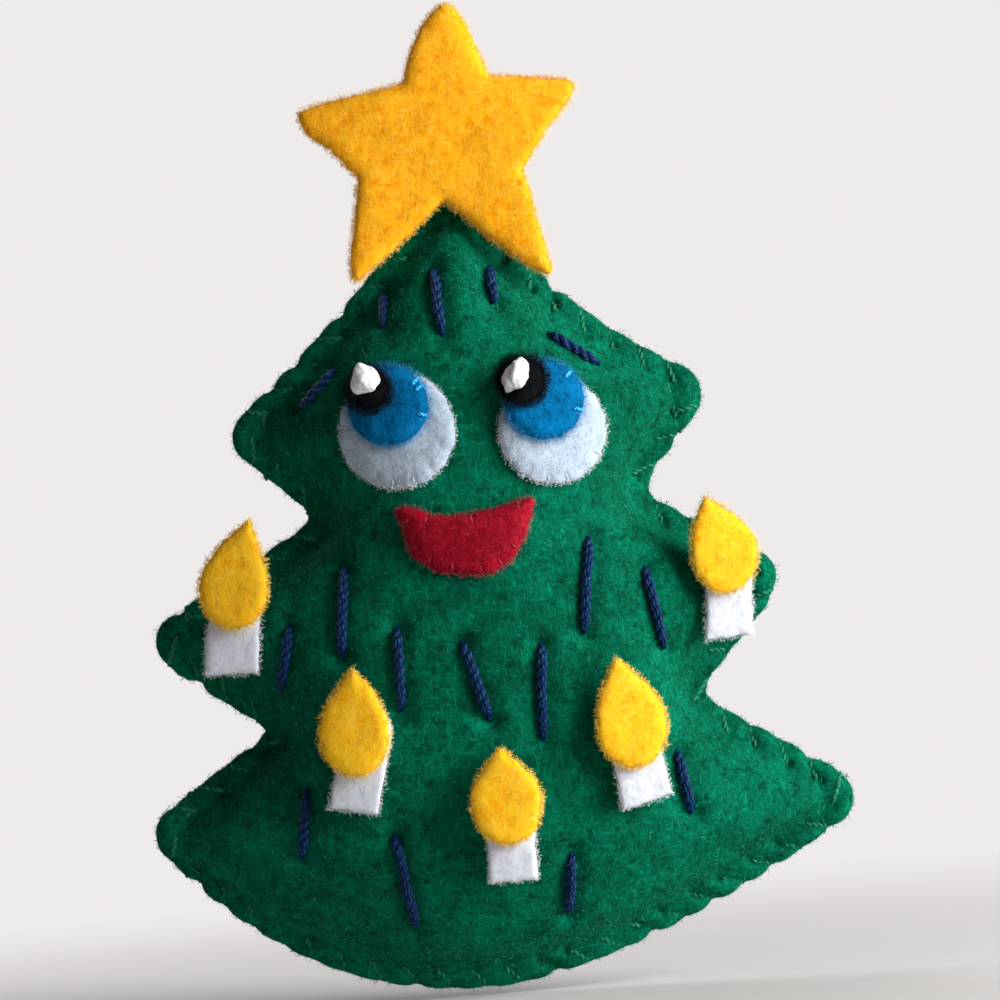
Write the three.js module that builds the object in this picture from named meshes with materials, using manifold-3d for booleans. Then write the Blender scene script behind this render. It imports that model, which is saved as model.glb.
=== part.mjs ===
// A stuffed felt tree ornament. Two green panels are whip-stitched round the edge over a wad of stuffing,
// and a star, a face, five candles and straight floss stitches are fixed to the front.
// Millimetres, +Z up. The front faces -Y, and the origin is the middle of the flat of the back.
// Outlines are written as [x, z], with z measured up from the lowest point of the cut edge.
import * as THREE from "three";
import { mergeVertices } from "three/addons/utils/BufferGeometryUtils.js";
import Module from "manifold-3d";

const wasm = await Module();
wasm.setup();

// Felt, thread and the room between pieces that lie on each other
const PANEL_FELT = 1.3;
const CANDLE_FELT = 1.3;
const STAR_FELT = 1.5;
const FACE_FELT = 1.0;
const SEAM_GAP = 0.3;
const CLEARANCE = 0.3;
const EDGE_THREAD = 0.8;
const FLOSS = 1.4;

// The whip-stitched edge: from the cut edge inwards, a margin, the needle hole and a margin to the swell
const EDGE_MARGIN = 1.05;
const SWELL_MARGIN = 0.35;
const STITCH_PITCH = 3.4;
const OVER_EDGE = 0.42; // share of the way to the next hole where the thread turns over the front edge
const THREAD_HOLE = EDGE_THREAD + 2 * CLEARANCE;
const FLOSS_HOLE = FLOSS + 2 * CLEARANCE;
const HOLE_INSET = EDGE_MARGIN + THREAD_HOLE / 2;
const FLANGE = EDGE_MARGIN + THREAD_HOLE + SWELL_MARGIN;

// How far each panel swells out of the seam plane, and where the back lies flat
const FRONT_CROWN = 11.5;
const BACK_CROWN = 9;
const BACK_FLAT = 7.4;
const SWELL_POWER = 0.46;
const BACK_DEPTH = SEAM_GAP / 2 + PANEL_FELT + BACK_FLAT;
const REST_HEIGHT = 27;

// The line where the flat edge ends and the swell begins: three tips and two notches on each side
const APEX_Z = 76.2;
const APEX_HALF_WIDTH = 1;
const HEM_X = -1.5;
const HEM_Z = FLANGE;
const NOTCH_REACH = 7;
const LEFT = {
  sign: -1,
  hollow: [-9.7, 65.5], // the top edge is drawn in towards this point
  tips: [[-20.6, 57], [-30.1, 36.8], [-31.6, 17.6]],
  notches: [[-10.6, 47.7], [-16.7, 27.2]],
  hemPower: 2.35, // how late the hem bends up to the lowest tip
};
const RIGHT = {
  sign: 1,
  hollow: [8.5, 64.5],
  tips: [[21, 57.8], [27.1, 38.5], [33, 16.2]],
  notches: [[12.2, 47.7], [16.2, 26.9]],
  hemPower: 1.55,
};

// The star, tips and notches in turn from the top tip, anticlockwise
const STAR_POINTS = [
  [1.2, 98.8], [-3.3, 91], [-14.6, 88.4], [-8.6, 81.9], [-10.2, 71.2],
  [-0.4, 79.1], [10, 70.4], [7.7, 81.7], [14.2, 89.7], [5.1, 91.1],
];
const STAR_ROUND = 1.4; // how far the round of a tip runs along its two edges

// The eyes, each a stack of three rounds and a knot of thread
const EYES = [
  {
    side: "left",
    white: { at: [-6.9, 56.3], radius: 5.9 },
    iris: { at: [-7.5, 58.9], radius: 4.15 },
    pupil: { at: [-8.8, 60.4], radius: 2.6 },
    glint: { at: [-9.5, 61.6], width: 2.8, height: 3.2, lean: 10 },
  },
  {
    side: "right",
    white: { at: [8.6, 55.1], radius: 5.5 },
    iris: { at: [8, 58.2], radius: 4.1 },
    pupil: { at: [5.7, 60.3], radius: 2.7 },
    glint: { at: [5.3, 60.8], width: 2.5, height: 4, lean: -24 },
  },
];
const GLINT_DEPTH = 2;
const MOUTH_POINTS = [
  [-7.7, 48.4], [-6.9, 46], [-6.5, 44], [-4.6, 42.3], [-2.2, 41.6],
  [0.9, 41.3], [3.2, 42.3], [4.9, 44.5], [5.7, 46.6], [6.1, 48.6],
  [4.2, 48.4], [1.6, 47.8], [-1.6, 47.5], [-4, 47.7], [-5.4, 48.6],
];

// The candles: the middle of the stub's foot, the middle of the flame at its widest, the flame's tip,
// and how far the white head behind the flame is shifted to the right, so that it shows beside it
const CANDLES = [
  { place: "far_left", foot: [-25.2, 33.2], belly: [-24.5, 42.1], tip: [-22.3, 48.9], peek: 0.35 },
  { place: "left", foot: [-14.2, 18.6], belly: [-14.1, 26.7], tip: [-13.7, 33.3], peek: 0.75 },
  { place: "centre", foot: [1, 10.2], belly: [1, 18.8], tip: [0.8, 24.2], peek: 0.35 },
  { place: "right", foot: [14.9, 17.2], belly: [14, 25.3], tip: [12.9, 32.1], peek: 0.2 },
  { place: "far_right", foot: [24.7, 32.9], belly: [24.7, 41.7], tip: [23.2, 47.3], peek: 0.2 },
];
const STUB_WIDTH = 5.2;
const FLAME_WIDTH = 7.2;
const FLAME_DROP = 4.4; // from the flame's widest down to its round end
const FLAME_SHOULDER = 0.55; // share of the way up to the tip where the sides turn in
const CANDLE_TILT = 0.4; // share of the body's slope that a candle leans with

// The floss stitches, end to end
const NEEDLES = [
  [[-2, 72.2], [-1.6, 65.5]],
  [[3.7, 72], [3.8, 68.3]],
  [[-6.3, 69.4], [-7, 66]],
  [[9, 64.9], [13.6, 61.4]],
  [[-16.2, 59.6], [-12.6, 63]],
  [[-13.2, 43.2], [-14.2, 34.4]],
  [[-19.1, 37.8], [-20.7, 31.3]],
  [[-8.4, 36.8], [-8.7, 28.6]],
  [[-2.1, 34.9], [0, 26.9]],
  [[5.7, 34], [5.1, 24.6]],
  [[11.3, 44.2], [10, 34.7]],
  [[16.7, 40.7], [17.9, 32.5]],
  [[19.3, 21.8], [19.9, 15.9]],
  [[-19, 21.6], [-19.8, 14.6]],
  [[-10.4, 16.2], [-9, 6.8]],
  [[7.1, 13], [6.2, 7]],
];

// How finely the shapes are cut
const ROW_STEP = 2.6;
const HEM_ROWS = 6;
const COLUMNS = 10;
const CURVE_STEPS = 12;
const PLATE_STEPS = 3;
const FAN_ANGLE = Math.PI / 6;
const ROUND_SIDES = 20;
const FACE_RINGS = [1, 0.7, 0.35];
const THREAD_SIDES = 5;
const FLOSS_SIDES = 6;
const GLINT_SIDES = 10;
const GLINT_RINGS = 8;
const RELAX_SWEEPS = 500;
const SAMPLE_STEP = 0.8;
const SLOPE_STEP = 1;
const GAP_SAMPLES = 4;
const WELD = 1e-4;

// Small plane geometry
const range = (n) => Array.from({ length: n }, (_, i) => i);
const mix = (a, b, t) => a + (b - a) * t;
const mixPoint = (p, q, t) => [mix(p[0], q[0], t), mix(p[1], q[1], t)];
const distance = (p, q) => Math.hypot(q[0] - p[0], q[1] - p[1]);
const unit = (v) => v.map((c) => c / Math.hypot(...v));
const towards = (p, q, reach) => mixPoint(p, q, reach / distance(p, q));
const direction = (p, q) => unit([q[0] - p[0], q[1] - p[1]]);
const rightOf = (d) => [d[1], -d[0]];
const turnBetween = (d, e) => Math.atan2(d[0] * e[1] - d[1] * e[0], d[0] * e[0] + d[1] * e[1]);
const turned = (d, angle) => [
  d[0] * Math.cos(angle) - d[1] * Math.sin(angle),
  d[0] * Math.sin(angle) + d[1] * Math.cos(angle),
];
const crossing = (p, q, r) => (q[0] - p[0]) * (r[1] - p[1]) - (q[1] - p[1]) * (r[0] - p[0]);
const pairsOf = (points) => points.map((p) => p.toArray());

// Height of the swell line's lower end at x, a curve that is level at the hem and ends in the lowest tip
function hemHeight(x) {
  const { tips, hemPower } = x < HEM_X ? LEFT : RIGHT;
  const [tipX, tipZ] = tips.at(-1);
  return mix(HEM_Z, tipZ, ((x - HEM_X) / (tipX - HEM_X)) ** hemPower);
}

// One side of the swell line, from the apex down to the hem
function sideLine({ sign, hollow, tips, notches }) {
  const path = new THREE.Path().moveTo(sign * APEX_HALF_WIDTH, APEX_Z);
  path.quadraticCurveTo(...hollow, ...tips[0]);
  notches.forEach((notch, i) => {
    path.lineTo(...towards(notch, tips[i], NOTCH_REACH));
    path.quadraticCurveTo(...notch, ...towards(notch, tips[i + 1], NOTCH_REACH));
    path.lineTo(...tips[i + 1]);
  });
  const hem = range(ROUND_SIDES).map((i) => {
    const x = mix(tips.at(-1)[0], HEM_X, (i + 1) / ROUND_SIDES);
    return [x, hemHeight(x)];
  });
  return [...pairsOf(path.getPoints(CURVE_STEPS)), ...hem];
}

function crossAt(line, z) {
  const i = line.findIndex((p, k) => k > 0 && p[1] <= z);
  const [p, q] = [line[i - 1], line[i]];
  return mix(p[0], q[0], (p[1] - z) / (p[1] - q[1]));
}

// Heights of the rows that the swell is meshed in: one through each tip and notch, and some between
function rowLevels() {
  const keys = [...LEFT.tips, ...LEFT.notches, ...RIGHT.tips, ...RIGHT.notches].map((p) => p[1]);
  const sorted = [APEX_Z, ...keys].sort((a, b) => b - a);
  const apart = sorted.filter((z, i) => i === 0 || sorted[i - 1] - z > CLEARANCE);
  const levels = [apart[0]];
  apart.slice(1).forEach((z, i) => {
    const count = Math.max(1, Math.round((apart[i] - z) / ROW_STEP));
    range(count).forEach((k) => levels.push(mix(apart[i], z, (k + 1) / count)));
  });
  const low = levels.at(-1);
  range(HEM_ROWS - 1).forEach((k) => levels.push(mix(HEM_Z, low, ((HEM_ROWS - 1 - k) / HEM_ROWS) ** 2)));
  return levels;
}

// The swell's mesh in the seam plane: rows from the top down, each from left to right, and its border loop
function swellMesh() {
  const left = sideLine(LEFT);
  const right = sideLine(RIGHT);
  const levels = rowLevels();
  const points = levels.flatMap((z, row) =>
    range(COLUMNS + 1).map((j) => {
      const x = mix(crossAt(left, z), crossAt(right, z), (1 - Math.cos((Math.PI * j) / COLUMNS)) / 2);
      return [x, row === levels.length - 1 ? hemHeight(x) : z];
    }),
  );
  const at = (row, column) => row * (COLUMNS + 1) + column;
  const triangles = range(levels.length - 1).flatMap((row) =>
    range(COLUMNS).flatMap((j) => {
      const [a, b, c, d] = [at(row, j), at(row, j + 1), at(row + 1, j), at(row + 1, j + 1)];
      return j < COLUMNS / 2 ? [[a, c, b], [b, c, d]] : [[a, c, d], [a, d, b]];
    }),
  );
  const last = levels.length - 1;
  const loop = [
    ...range(last).map((row) => at(row, 0)),
    ...range(COLUMNS).map((j) => at(last, j)),
    ...range(last).map((k) => at(last - k, COLUMNS)),
    ...range(COLUMNS).map((k) => at(0, COLUMNS - k)),
  ];
  const inside = { rows: range(last - 1).map((k) => k + 1), at };
  return { points, triangles, loop, inside };
}

// How a membrane blown up over the mesh and held along its border stands, from 0 to 1 at its highest
function membrane({ points, triangles, loop }) {
  const held = new Set(loop);
  const links = points.map(() => new Map());
  const load = points.map(() => 0);
  triangles.forEach((triangle) => {
    const area = crossing(...triangle.map((i) => points[i])) / 2;
    triangle.forEach((i, k) => {
      const [j, m] = [triangle[(k + 1) % 3], triangle[(k + 2) % 3]];
      const [u, v] = [i, m].map((n) => [points[n][0] - points[j][0], points[n][1] - points[j][1]]);
      const weight = (u[0] * v[0] + u[1] * v[1]) / (4 * area);
      links[i].set(m, (links[i].get(m) ?? 0) + weight);
      links[m].set(i, (links[m].get(i) ?? 0) + weight);
      load[i] += area / 3;
    });
  });
  const height = points.map(() => 0);
  range(RELAX_SWEEPS).forEach(() =>
    points.forEach((_, i) => {
      if (held.has(i)) return;
      let pull = load[i];
      let weights = 0;
      links[i].forEach((weight, n) => {
        pull += weight * height[n];
        weights += weight;
      });
      height[i] = pull / weights;
    }),
  );
  const highest = Math.max(...height);
  return height.map((h) => (Math.max(h, 0) / highest) ** SWELL_POWER);
}

// Rays out of a loop: one at a straight point, several round a sharp corner
function raysOf(points, loop) {
  return loop.flatMap((index, i) => {
    const before = points[loop.at(i - 1)];
    const at = points[index];
    const after = points[loop[(i + 1) % loop.length]];
    const [d, e] = [direction(before, at), direction(at, after)];
    const turn = turnBetween(d, e);
    if (turn < FAN_ANGLE) {
      const way = unit([rightOf(d)[0] + rightOf(e)[0], rightOf(d)[1] + rightOf(e)[1]]);
      const stretch = 1 / Math.cos(turn / 2);
      return [{ index, at, way: way.map((c) => c * stretch) }];
    }
    const steps = Math.ceil(turn / FAN_ANGLE);
    return range(steps + 1).map((k) => ({ index, at, way: turned(rightOf(d), (turn * k) / steps) }));
  });
}

const along = (ray, reach) => [ray.at[0] + ray.way[0] * reach, ray.at[1] + ray.way[1] * reach];

// A panel's mesh: the swell with the flat edge round it
function panelMesh(swell, rays) {
  const points = [...swell.points, ...rays.map((ray) => along(ray, FLANGE))];
  const first = swell.points.length;
  const band = rays.flatMap((ray, i) => {
    const next = (i + 1) % rays.length;
    const outer = [ray.index, first + i, first + next];
    return ray.index === rays[next].index ? [outer] : [outer, [ray.index, first + next, rays[next].index]];
  });
  return { points, triangles: [...swell.triangles, ...band], loop: rays.map((_, i) => first + i) };
}

// A closed geometry from vertex triples and triangles
function closedGeometry(vertices, triangles) {
  const geometry = new THREE.BufferGeometry();
  geometry.setAttribute("position", new THREE.Float32BufferAttribute(vertices.flat(), 3));
  geometry.setIndex(triangles.flat());
  geometry.computeVertexNormals();
  return geometry;
}

// A sheet with thickness: the same plane mesh at its near depth and at its far depth, and a rim between them
function sheet({ points, triangles, loop }, near, far) {
  const count = points.length;
  const vertices = [
    ...points.map(([x, z], i) => [x, near(x, z, i), z]),
    ...points.map(([x, z], i) => [x, far(x, z, i), z]),
  ];
  const back = triangles.map(([a, b, c]) => [a + count, c + count, b + count]);
  const rim = loop.flatMap((a, i) => {
    const b = loop[(i + 1) % loop.length];
    return [[a, a + count, b + count], [a, b + count, b]];
  });
  return closedGeometry(vertices, [...triangles, ...back, ...rim]);
}

// A tube through points in space, mitred at its bends and closed at both ends
function tube(path, diameter, sides) {
  const points = path.map((p) => new THREE.Vector3(...p));
  const legs = points.slice(1).map((p, i) => p.clone().sub(points[i]).normalize());
  const last = points.length - 1;
  const normal = new THREE.Vector3(0, 0, 1);
  if (Math.abs(legs[0].z) > 0.9) normal.set(1, 0, 0);
  let before = legs[0];
  const vertices = points.flatMap((p, i) => {
    const enter = legs[Math.max(i - 1, 0)];
    const leave = legs[Math.min(i, last - 1)];
    const tangent = enter.clone().add(leave).normalize();
    normal.applyQuaternion(new THREE.Quaternion().setFromUnitVectors(before, tangent));
    normal.addScaledVector(tangent, -normal.dot(tangent)).normalize();
    before = tangent;
    const bend = leave.clone().sub(enter).normalize();
    const mitre = 1 / tangent.dot(enter) - 1;
    const binormal = tangent.clone().cross(normal);
    return range(sides).map((k) => {
      const angle = (2 * Math.PI * k) / sides;
      const out = normal.clone().multiplyScalar(Math.cos(angle)).addScaledVector(binormal, Math.sin(angle));
      out.addScaledVector(bend, out.dot(bend) * mitre);
      return p.clone().addScaledVector(out, diameter / 2).toArray();
    });
  });
  const walls = range(last).flatMap((i) =>
    range(sides).flatMap((k) => {
      const [a, b] = [i * sides + k, i * sides + ((k + 1) % sides)];
      return [[a, b, b + sides], [a, b + sides, a + sides]];
    }),
  );
  const caps = range(sides - 2).flatMap((k) => [
    [0, k + 2, k + 1],
    [last * sides, last * sides + k + 1, last * sides + k + 2],
  ]);
  return closedGeometry(vertices, [...walls, ...caps]);
}

// Cutting with manifold solids
function solidOf(geometry) {
  const bare = geometry.clone();
  bare.deleteAttribute("normal");
  bare.deleteAttribute("uv");
  const merged = mergeVertices(bare, WELD);
  return new wasm.Manifold(
    new wasm.Mesh({
      numProp: 3,
      vertProperties: merged.attributes.position.array,
      triVerts: new Uint32Array(merged.index.array),
    }),
  );
}

function cut(geometry, holes) {
  const rest = holes.reduce((solid, hole) => solid.subtract(solidOf(hole)), solidOf(geometry));
  const mesh = rest.getMesh();
  const made = new THREE.BufferGeometry();
  made.setAttribute("position", new THREE.BufferAttribute(mesh.vertProperties, 3));
  made.setIndex(new THREE.BufferAttribute(mesh.triVerts, 1));
  made.computeVertexNormals();
  return made;
}

// A square needle hole through the felt at a point, turned to face along a direction
function needleHole([x, z], width, way, near, far) {
  const box = new THREE.BoxGeometry(width, far - near, width);
  box.rotateY(-Math.atan2(way[1], way[0]));
  return box.translate(x, (near + far) / 2, z);
}

// The body's surfaces. Depths are distances from the seam plane, forwards for the front.
const swell = swellMesh();
const rise = membrane(swell);
const rays = raysOf(swell.points, swell.loop);
const panel = panelMesh(swell, rays);
const frontRise = panel.points.map((_, i) => FRONT_CROWN * (rise[i] ?? 0));
const backRise = panel.points.map((_, i) => Math.min(BACK_CROWN * (rise[i] ?? 0), BACK_FLAT));
const innerFace = SEAM_GAP / 2;
const outerFace = SEAM_GAP / 2 + PANEL_FELT;
const threadTop = outerFace + CLEARANCE + EDGE_THREAD;

// Depth of the front panel's outer face at a point, and null off the panel
function frontDepth(x, z) {
  for (const [a, b, c] of panel.triangles) {
    const [p, q, r] = [panel.points[a], panel.points[b], panel.points[c]];
    const area = crossing(p, q, r);
    const at = [x, z];
    const shares = [crossing(at, q, r), crossing(p, at, r), crossing(p, q, at)].map((s) => s / area);
    if (shares.every((share) => share >= -WELD)) {
      const raised = [a, b, c].reduce((sum, i, k) => sum + frontRise[i] * shares[k], 0);
      return outerFace + raised;
    }
  }
  return null;
}

// Slope of the front face at a point, across and up
function frontSlope(x, z) {
  const here = frontDepth(x, z) ?? outerFace;
  const across = [-SLOPE_STEP, SLOPE_STEP].map((step) => frontDepth(x + step, z) ?? here);
  const up = [-SLOPE_STEP, SLOPE_STEP].map((step) => frontDepth(x, z + step) ?? here);
  return [across, up].map(([low, high]) => (high - low) / (2 * SLOPE_STEP));
}

// Depth of a point that stands a distance off the front face, measured square to the face
function standing(x, z, off) {
  return (frontDepth(x, z) ?? outerFace) + off * Math.hypot(1, ...frontSlope(x, z));
}

// Depth that a loose plate has to clear at a point: the swell, or the stitches over the flat edge
function coverDepth(x, z) {
  const depth = frontDepth(x, z);
  if (depth === null) return null;
  const clear = depth + CLEARANCE * Math.hypot(1, ...frontSlope(x, z));
  return Math.max(clear, threadTop + CLEARANCE);
}

// The middle of an outline's area
function middleOf(outline) {
  const slices = outline.map((p, i) => {
    const q = outline[(i + 1) % outline.length];
    return { p, q, area: p[0] * q[1] - q[0] * p[1] };
  });
  const whole = slices.reduce((sum, { area }) => sum + area, 0);
  const moment = (k) => slices.reduce((sum, { p, q, area }) => sum + (p[k] + q[k]) * area, 0);
  return [moment(0) / (3 * whole), moment(1) / (3 * whole)];
}

// A plane mesh of an outline with rings drawn in to its middle, for a piece that follows the front face
function ringMesh(outline, shares) {
  const count = outline.length;
  const middle = middleOf(outline);
  const points = [...shares.flatMap((share) => outline.map((p) => mixPoint(middle, p, share))), middle];
  const centre = points.length - 1;
  const triangles = range(count).flatMap((i) => {
    const next = (i + 1) % count;
    const bands = range(shares.length - 1).flatMap((ring) => {
      const [a, b] = [ring * count + i, ring * count + next];
      return [[a, b, a + count], [b, b + count, a + count]];
    });
    const inner = (shares.length - 1) * count;
    return [...bands, [inner + i, inner + next, centre]];
  });
  return { points, triangles, loop: range(count) };
}

// A plane mesh of an outline with nothing inside it, for a flat plate
function plateMesh(outline) {
  const corners = outline.map((p) => new THREE.Vector2(...p));
  const triangles = THREE.ShapeUtils.triangulateShape(corners, []);
  return { points: outline, triangles, loop: range(outline.length) };
}

function insideOutline([x, z], outline) {
  return outline.reduce((inside, p, i) => {
    const q = outline.at(i - 1);
    const spans = p[1] > z !== q[1] > z;
    return spans && x < mix(p[0], q[0], (z - p[1]) / (q[1] - p[1])) ? !inside : inside;
  }, false);
}

// Points spread over an outline
function samplesOf(outline) {
  const [xs, zs] = [outline.map((p) => p[0]), outline.map((p) => p[1])];
  const [x0, z0] = [Math.min(...xs), Math.min(...zs)];
  const columns = range(Math.ceil((Math.max(...xs) - x0) / SAMPLE_STEP));
  const rows = range(Math.ceil((Math.max(...zs) - z0) / SAMPLE_STEP));
  const grid = columns.flatMap((i) => rows.map((k) => [x0 + i * SAMPLE_STEP, z0 + k * SAMPLE_STEP]));
  return [...outline, ...grid.filter((p) => insideOutline(p, outline))];
}

// The plane that a stiff plate lies in: it follows a share of the body's slope and rests on its highest point
function restingPlane(outline, tilt) {
  const onBody = samplesOf(outline).filter((p) => coverDepth(...p) !== null);
  const slopes = onBody.map((p) => frontSlope(...p));
  const slope = [0, 1].map((k) => (tilt * slopes.reduce((sum, s) => sum + s[k], 0)) / slopes.length);
  const level = Math.max(...onBody.map(([x, z]) => coverDepth(x, z) - slope[0] * x - slope[1] * z));
  return (x, z) => level + slope[0] * x + slope[1] * z;
}

// Outlines
function roundOutline({ at, radius }) {
  const path = new THREE.Path().absarc(...at, radius, 0, 2 * Math.PI, false);
  return pairsOf(path.getPoints(ROUND_SIDES / 2)).slice(0, -1);
}

function starOutline() {
  return STAR_POINTS.flatMap((p, i) => {
    if (i % 2) return [p];
    const enter = towards(p, STAR_POINTS.at(i - 1), STAR_ROUND);
    const leave = towards(p, STAR_POINTS[i + 1], STAR_ROUND);
    const round = new THREE.QuadraticBezierCurve(...[enter, p, leave].map((c) => new THREE.Vector2(...c)));
    return pairsOf(round.getPoints(PLATE_STEPS));
  });
}

// A flame is round below its widest and comes to a point above
function drawFlame(path, [x, z], tip, startAngle) {
  const reach = FLAME_WIDTH / 2;
  const shoulder = mix(z, tip[1], FLAME_SHOULDER);
  path.absellipse(x, z, reach, FLAME_DROP, startAngle, 0, false, 0);
  path.quadraticCurveTo(x + reach, shoulder, ...tip);
  path.quadraticCurveTo(x - reach, shoulder, x - reach, z);
  path.absellipse(x, z, reach, FLAME_DROP, Math.PI, Math.PI - startAngle, false, 0);
}

const withoutRepeats = (points) => points.filter((p, i) => distance(p, points.at(i - 1)) > WELD);

function flameOutline({ belly, tip }) {
  const path = new THREE.Path();
  drawFlame(path, belly, tip, -Math.PI / 2);
  return withoutRepeats(pairsOf(path.getPoints(PLATE_STEPS)));
}

function candleOutline({ foot, belly, tip, peek }) {
  const path = new THREE.Path().moveTo(foot[0] - STUB_WIDTH / 2, foot[1]);
  path.lineTo(foot[0] + STUB_WIDTH / 2, foot[1]);
  const head = [belly[0] + peek, belly[1]];
  drawFlame(path, head, [tip[0] + peek, tip[1] - peek], -Math.acos(STUB_WIDTH / FLAME_WIDTH));
  return withoutRepeats(pairsOf(path.getPoints(PLATE_STEPS)));
}

// The whip stitches' places round the edge, spaced on whichever is shorter, the hole line or the outside.
// place(k) is the k-th hole, and a share between two whole numbers is a place between two holes.
function stitchPlaces() {
  const outside = FLANGE + CLEARANCE + EDGE_THREAD / 2;
  const inside = FLANGE - HOLE_INSET;
  const marks = rays.map((ray) => ({ hole: along(ray, inside), out: along(ray, outside), way: ray.way }));
  const steps = marks.map((mark, i) => {
    const next = marks[(i + 1) % marks.length];
    return Math.min(distance(mark.hole, next.hole), distance(mark.out, next.out));
  });
  const whole = steps.reduce((sum, step) => sum + step, 0);
  const count = Math.round(whole / STITCH_PITCH);
  const place = (k) => {
    let left = ((k + 0.5) * whole) / count;
    let i = 0;
    while (left > steps[i]) left -= steps[i++];
    const [mark, next] = [marks[i], marks[(i + 1) % marks.length]];
    const between = (key) => mixPoint(mark[key], next[key], left / steps[i]);
    return { hole: between("hole"), out: between("out"), way: unit(between("way")) };
  };
  return { count, place };
}

// The thread's way: up through a hole, over the front edge, round behind and up through the next hole
function whipStitch({ count, place }) {
  const clear = outerFace + CLEARANCE + EDGE_THREAD / 2;
  const at = ([x, z], depth) => [x, -depth, z];
  const passes = range(count - 1).flatMap((k) => [
    at(place(k).hole, clear),
    at(place(k + OVER_EDGE).out, clear),
    at(place(k + 1 - OVER_EDGE).out, -clear),
    at(place(k + 1).hole, -clear),
  ]);
  return [at(place(0).hole, 0), ...passes, at(place(count - 1).hole, 0)];
}

// The least room between a thread's own turns, measured on points spread along it, past the next two legs
function leastGap(path, diameter) {
  const spread = path.slice(1).flatMap((q, leg) =>
    range(GAP_SAMPLES).map((k) => {
      const at = q.map((c, axis) => mix(path[leg][axis], c, k / GAP_SAMPLES));
      return { leg, at };
    }),
  );
  const apart = spread.map((a, i) =>
    spread.slice(i + 1).reduce((least, b) => {
      if (b.leg - a.leg <= 2) return least;
      return Math.min(least, Math.hypot(...a.at.map((c, axis) => c - b.at[axis])));
    }, Infinity),
  );
  return Math.min(...apart) - diameter;
}

// A floss stitch lies on the front face, and its two ends turn down into the felt
function needlePath([start, end]) {
  const steps = Math.max(2, Math.round(distance(start, end) / ROW_STEP));
  const top = range(steps + 1).map((k) => {
    const [x, z] = mixPoint(start, end, k / steps);
    return [x, -standing(x, z, CLEARANCE + FLOSS / 2), z];
  });
  const sunk = ([x, z]) => {
    const uphill = (FLOSS / 2) * Math.hypot(...frontSlope(x, z));
    return [x, -(frontDepth(x, z) - PANEL_FELT / 2 + uphill), z];
  };
  return [sunk(start), ...top, sunk(end)];
}

// Finishes
const felt = (color) => new THREE.MeshStandardMaterial({ color, roughness: 0.95, metalness: 0 });
const FINISH = {
  green: felt("#00704a"),
  greenThread: felt("#0a7d55"),
  stuffing: felt("#f2efe6"),
  orange: felt("#ffb326"),
  yellow: felt("#ffc733"),
  white: felt("#f0f0f4"),
  blue: felt("#0079bd"),
  black: felt("#0c0d10"),
  red: felt("#ab1530"),
  navy: new THREE.MeshStandardMaterial({ color: "#1e2763", roughness: 0.7, metalness: 0 }),
  knot: new THREE.MeshStandardMaterial({ color: "#f4f2ee", roughness: 0.8, metalness: 0 }),
};

const ornament = new THREE.Group();
const tree = new THREE.Group();
tree.position.set(0, -BACK_DEPTH, -REST_HEIGHT);
ornament.add(tree);

function add(name, geometry, finish) {
  const mesh = new THREE.Mesh(geometry, finish);
  mesh.name = name;
  tree.add(mesh);
}

// The two panels, with needle holes along the edge and, in front, at the ends of the floss stitches
const stitches = stitchPlaces();
const seamPlaces = range(stitches.count).map(stitches.place);
const seamHoles = (near, far) => seamPlaces.map((p) => needleHole(p.hole, THREAD_HOLE, p.way, near, far));
const flossHoles = NEEDLES.flatMap(([start, end]) =>
  [start, end].map((p) => {
    const depth = frontDepth(...p);
    const reach = PANEL_FELT + FLOSS_HOLE;
    return needleHole(p, FLOSS_HOLE, direction(start, end), -depth - reach, -depth + reach);
  }),
);
const inFront = (face) => (x, z, i) => -face - frontRise[i];
const behind = (face) => (x, z, i) => face + backRise[i];
const frontSheet = sheet(panel, inFront(outerFace), inFront(innerFace));
const backSheet = sheet(panel, behind(innerFace), behind(outerFace));
const through = outerFace + PANEL_FELT;
add("front_panel", cut(frontSheet, [...seamHoles(-through, 0), ...flossHoles]), FINISH.green);
add("back_panel", cut(backSheet, seamHoles(0, through)), FINISH.green);

// The thread round the edge
const threadPath = whipStitch(stitches);
add("edge_thread", tube(threadPath, EDGE_THREAD, THREAD_SIDES), FINISH.greenThread);
const roomLeft = leastGap(threadPath, EDGE_THREAD).toFixed(2);
console.log(`edge thread: ${stitches.count} holes, least gap to itself ${roomLeft} mm`);

// The stuffing fills the swell, one mesh step inside its border
function stuffingWad() {
  const { rows, at } = swell.inside;
  const columns = range(COLUMNS - 1).map((k) => k + 1);
  const kept = rows.flatMap((row) => columns.map((j) => at(row, j)));
  const place = new Map(kept.map((index, i) => [index, i]));
  const triangles = swell.triangles.filter((triangle) => triangle.every((i) => place.has(i)));
  const border = [
    ...rows.slice(0, -1).map((row) => at(row, 1)),
    ...columns.slice(0, -1).map((j) => at(rows.at(-1), j)),
    ...rows.slice(1).reverse().map((row) => at(row, COLUMNS - 1)),
    ...columns.slice(1).reverse().map((j) => at(rows[0], j)),
  ];
  const wad = {
    points: kept.map((index) => swell.points[index]),
    triangles: triangles.map((triangle) => triangle.map((i) => place.get(i))),
    loop: border.map((index) => place.get(index)),
  };
  const filled = (raised) => Math.max(innerFace + raised - CLEARANCE, SEAM_GAP / 3);
  const near = (x, z, i) => -filled(frontRise[kept[i]]);
  const far = (x, z, i) => filled(backRise[kept[i]]);
  return sheet(wad, near, far);
}
add("stuffing", stuffingWad(), FINISH.stuffing);

// The star stands upright in front of the stitches at the top
const star = starOutline();
const starPlane = restingPlane(star, 0);
const starDepth = (off) => (x, z) => -starPlane(x, z) - off;
add("star", sheet(plateMesh(star), starDepth(STAR_FELT), starDepth(0)), FINISH.orange);

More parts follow.
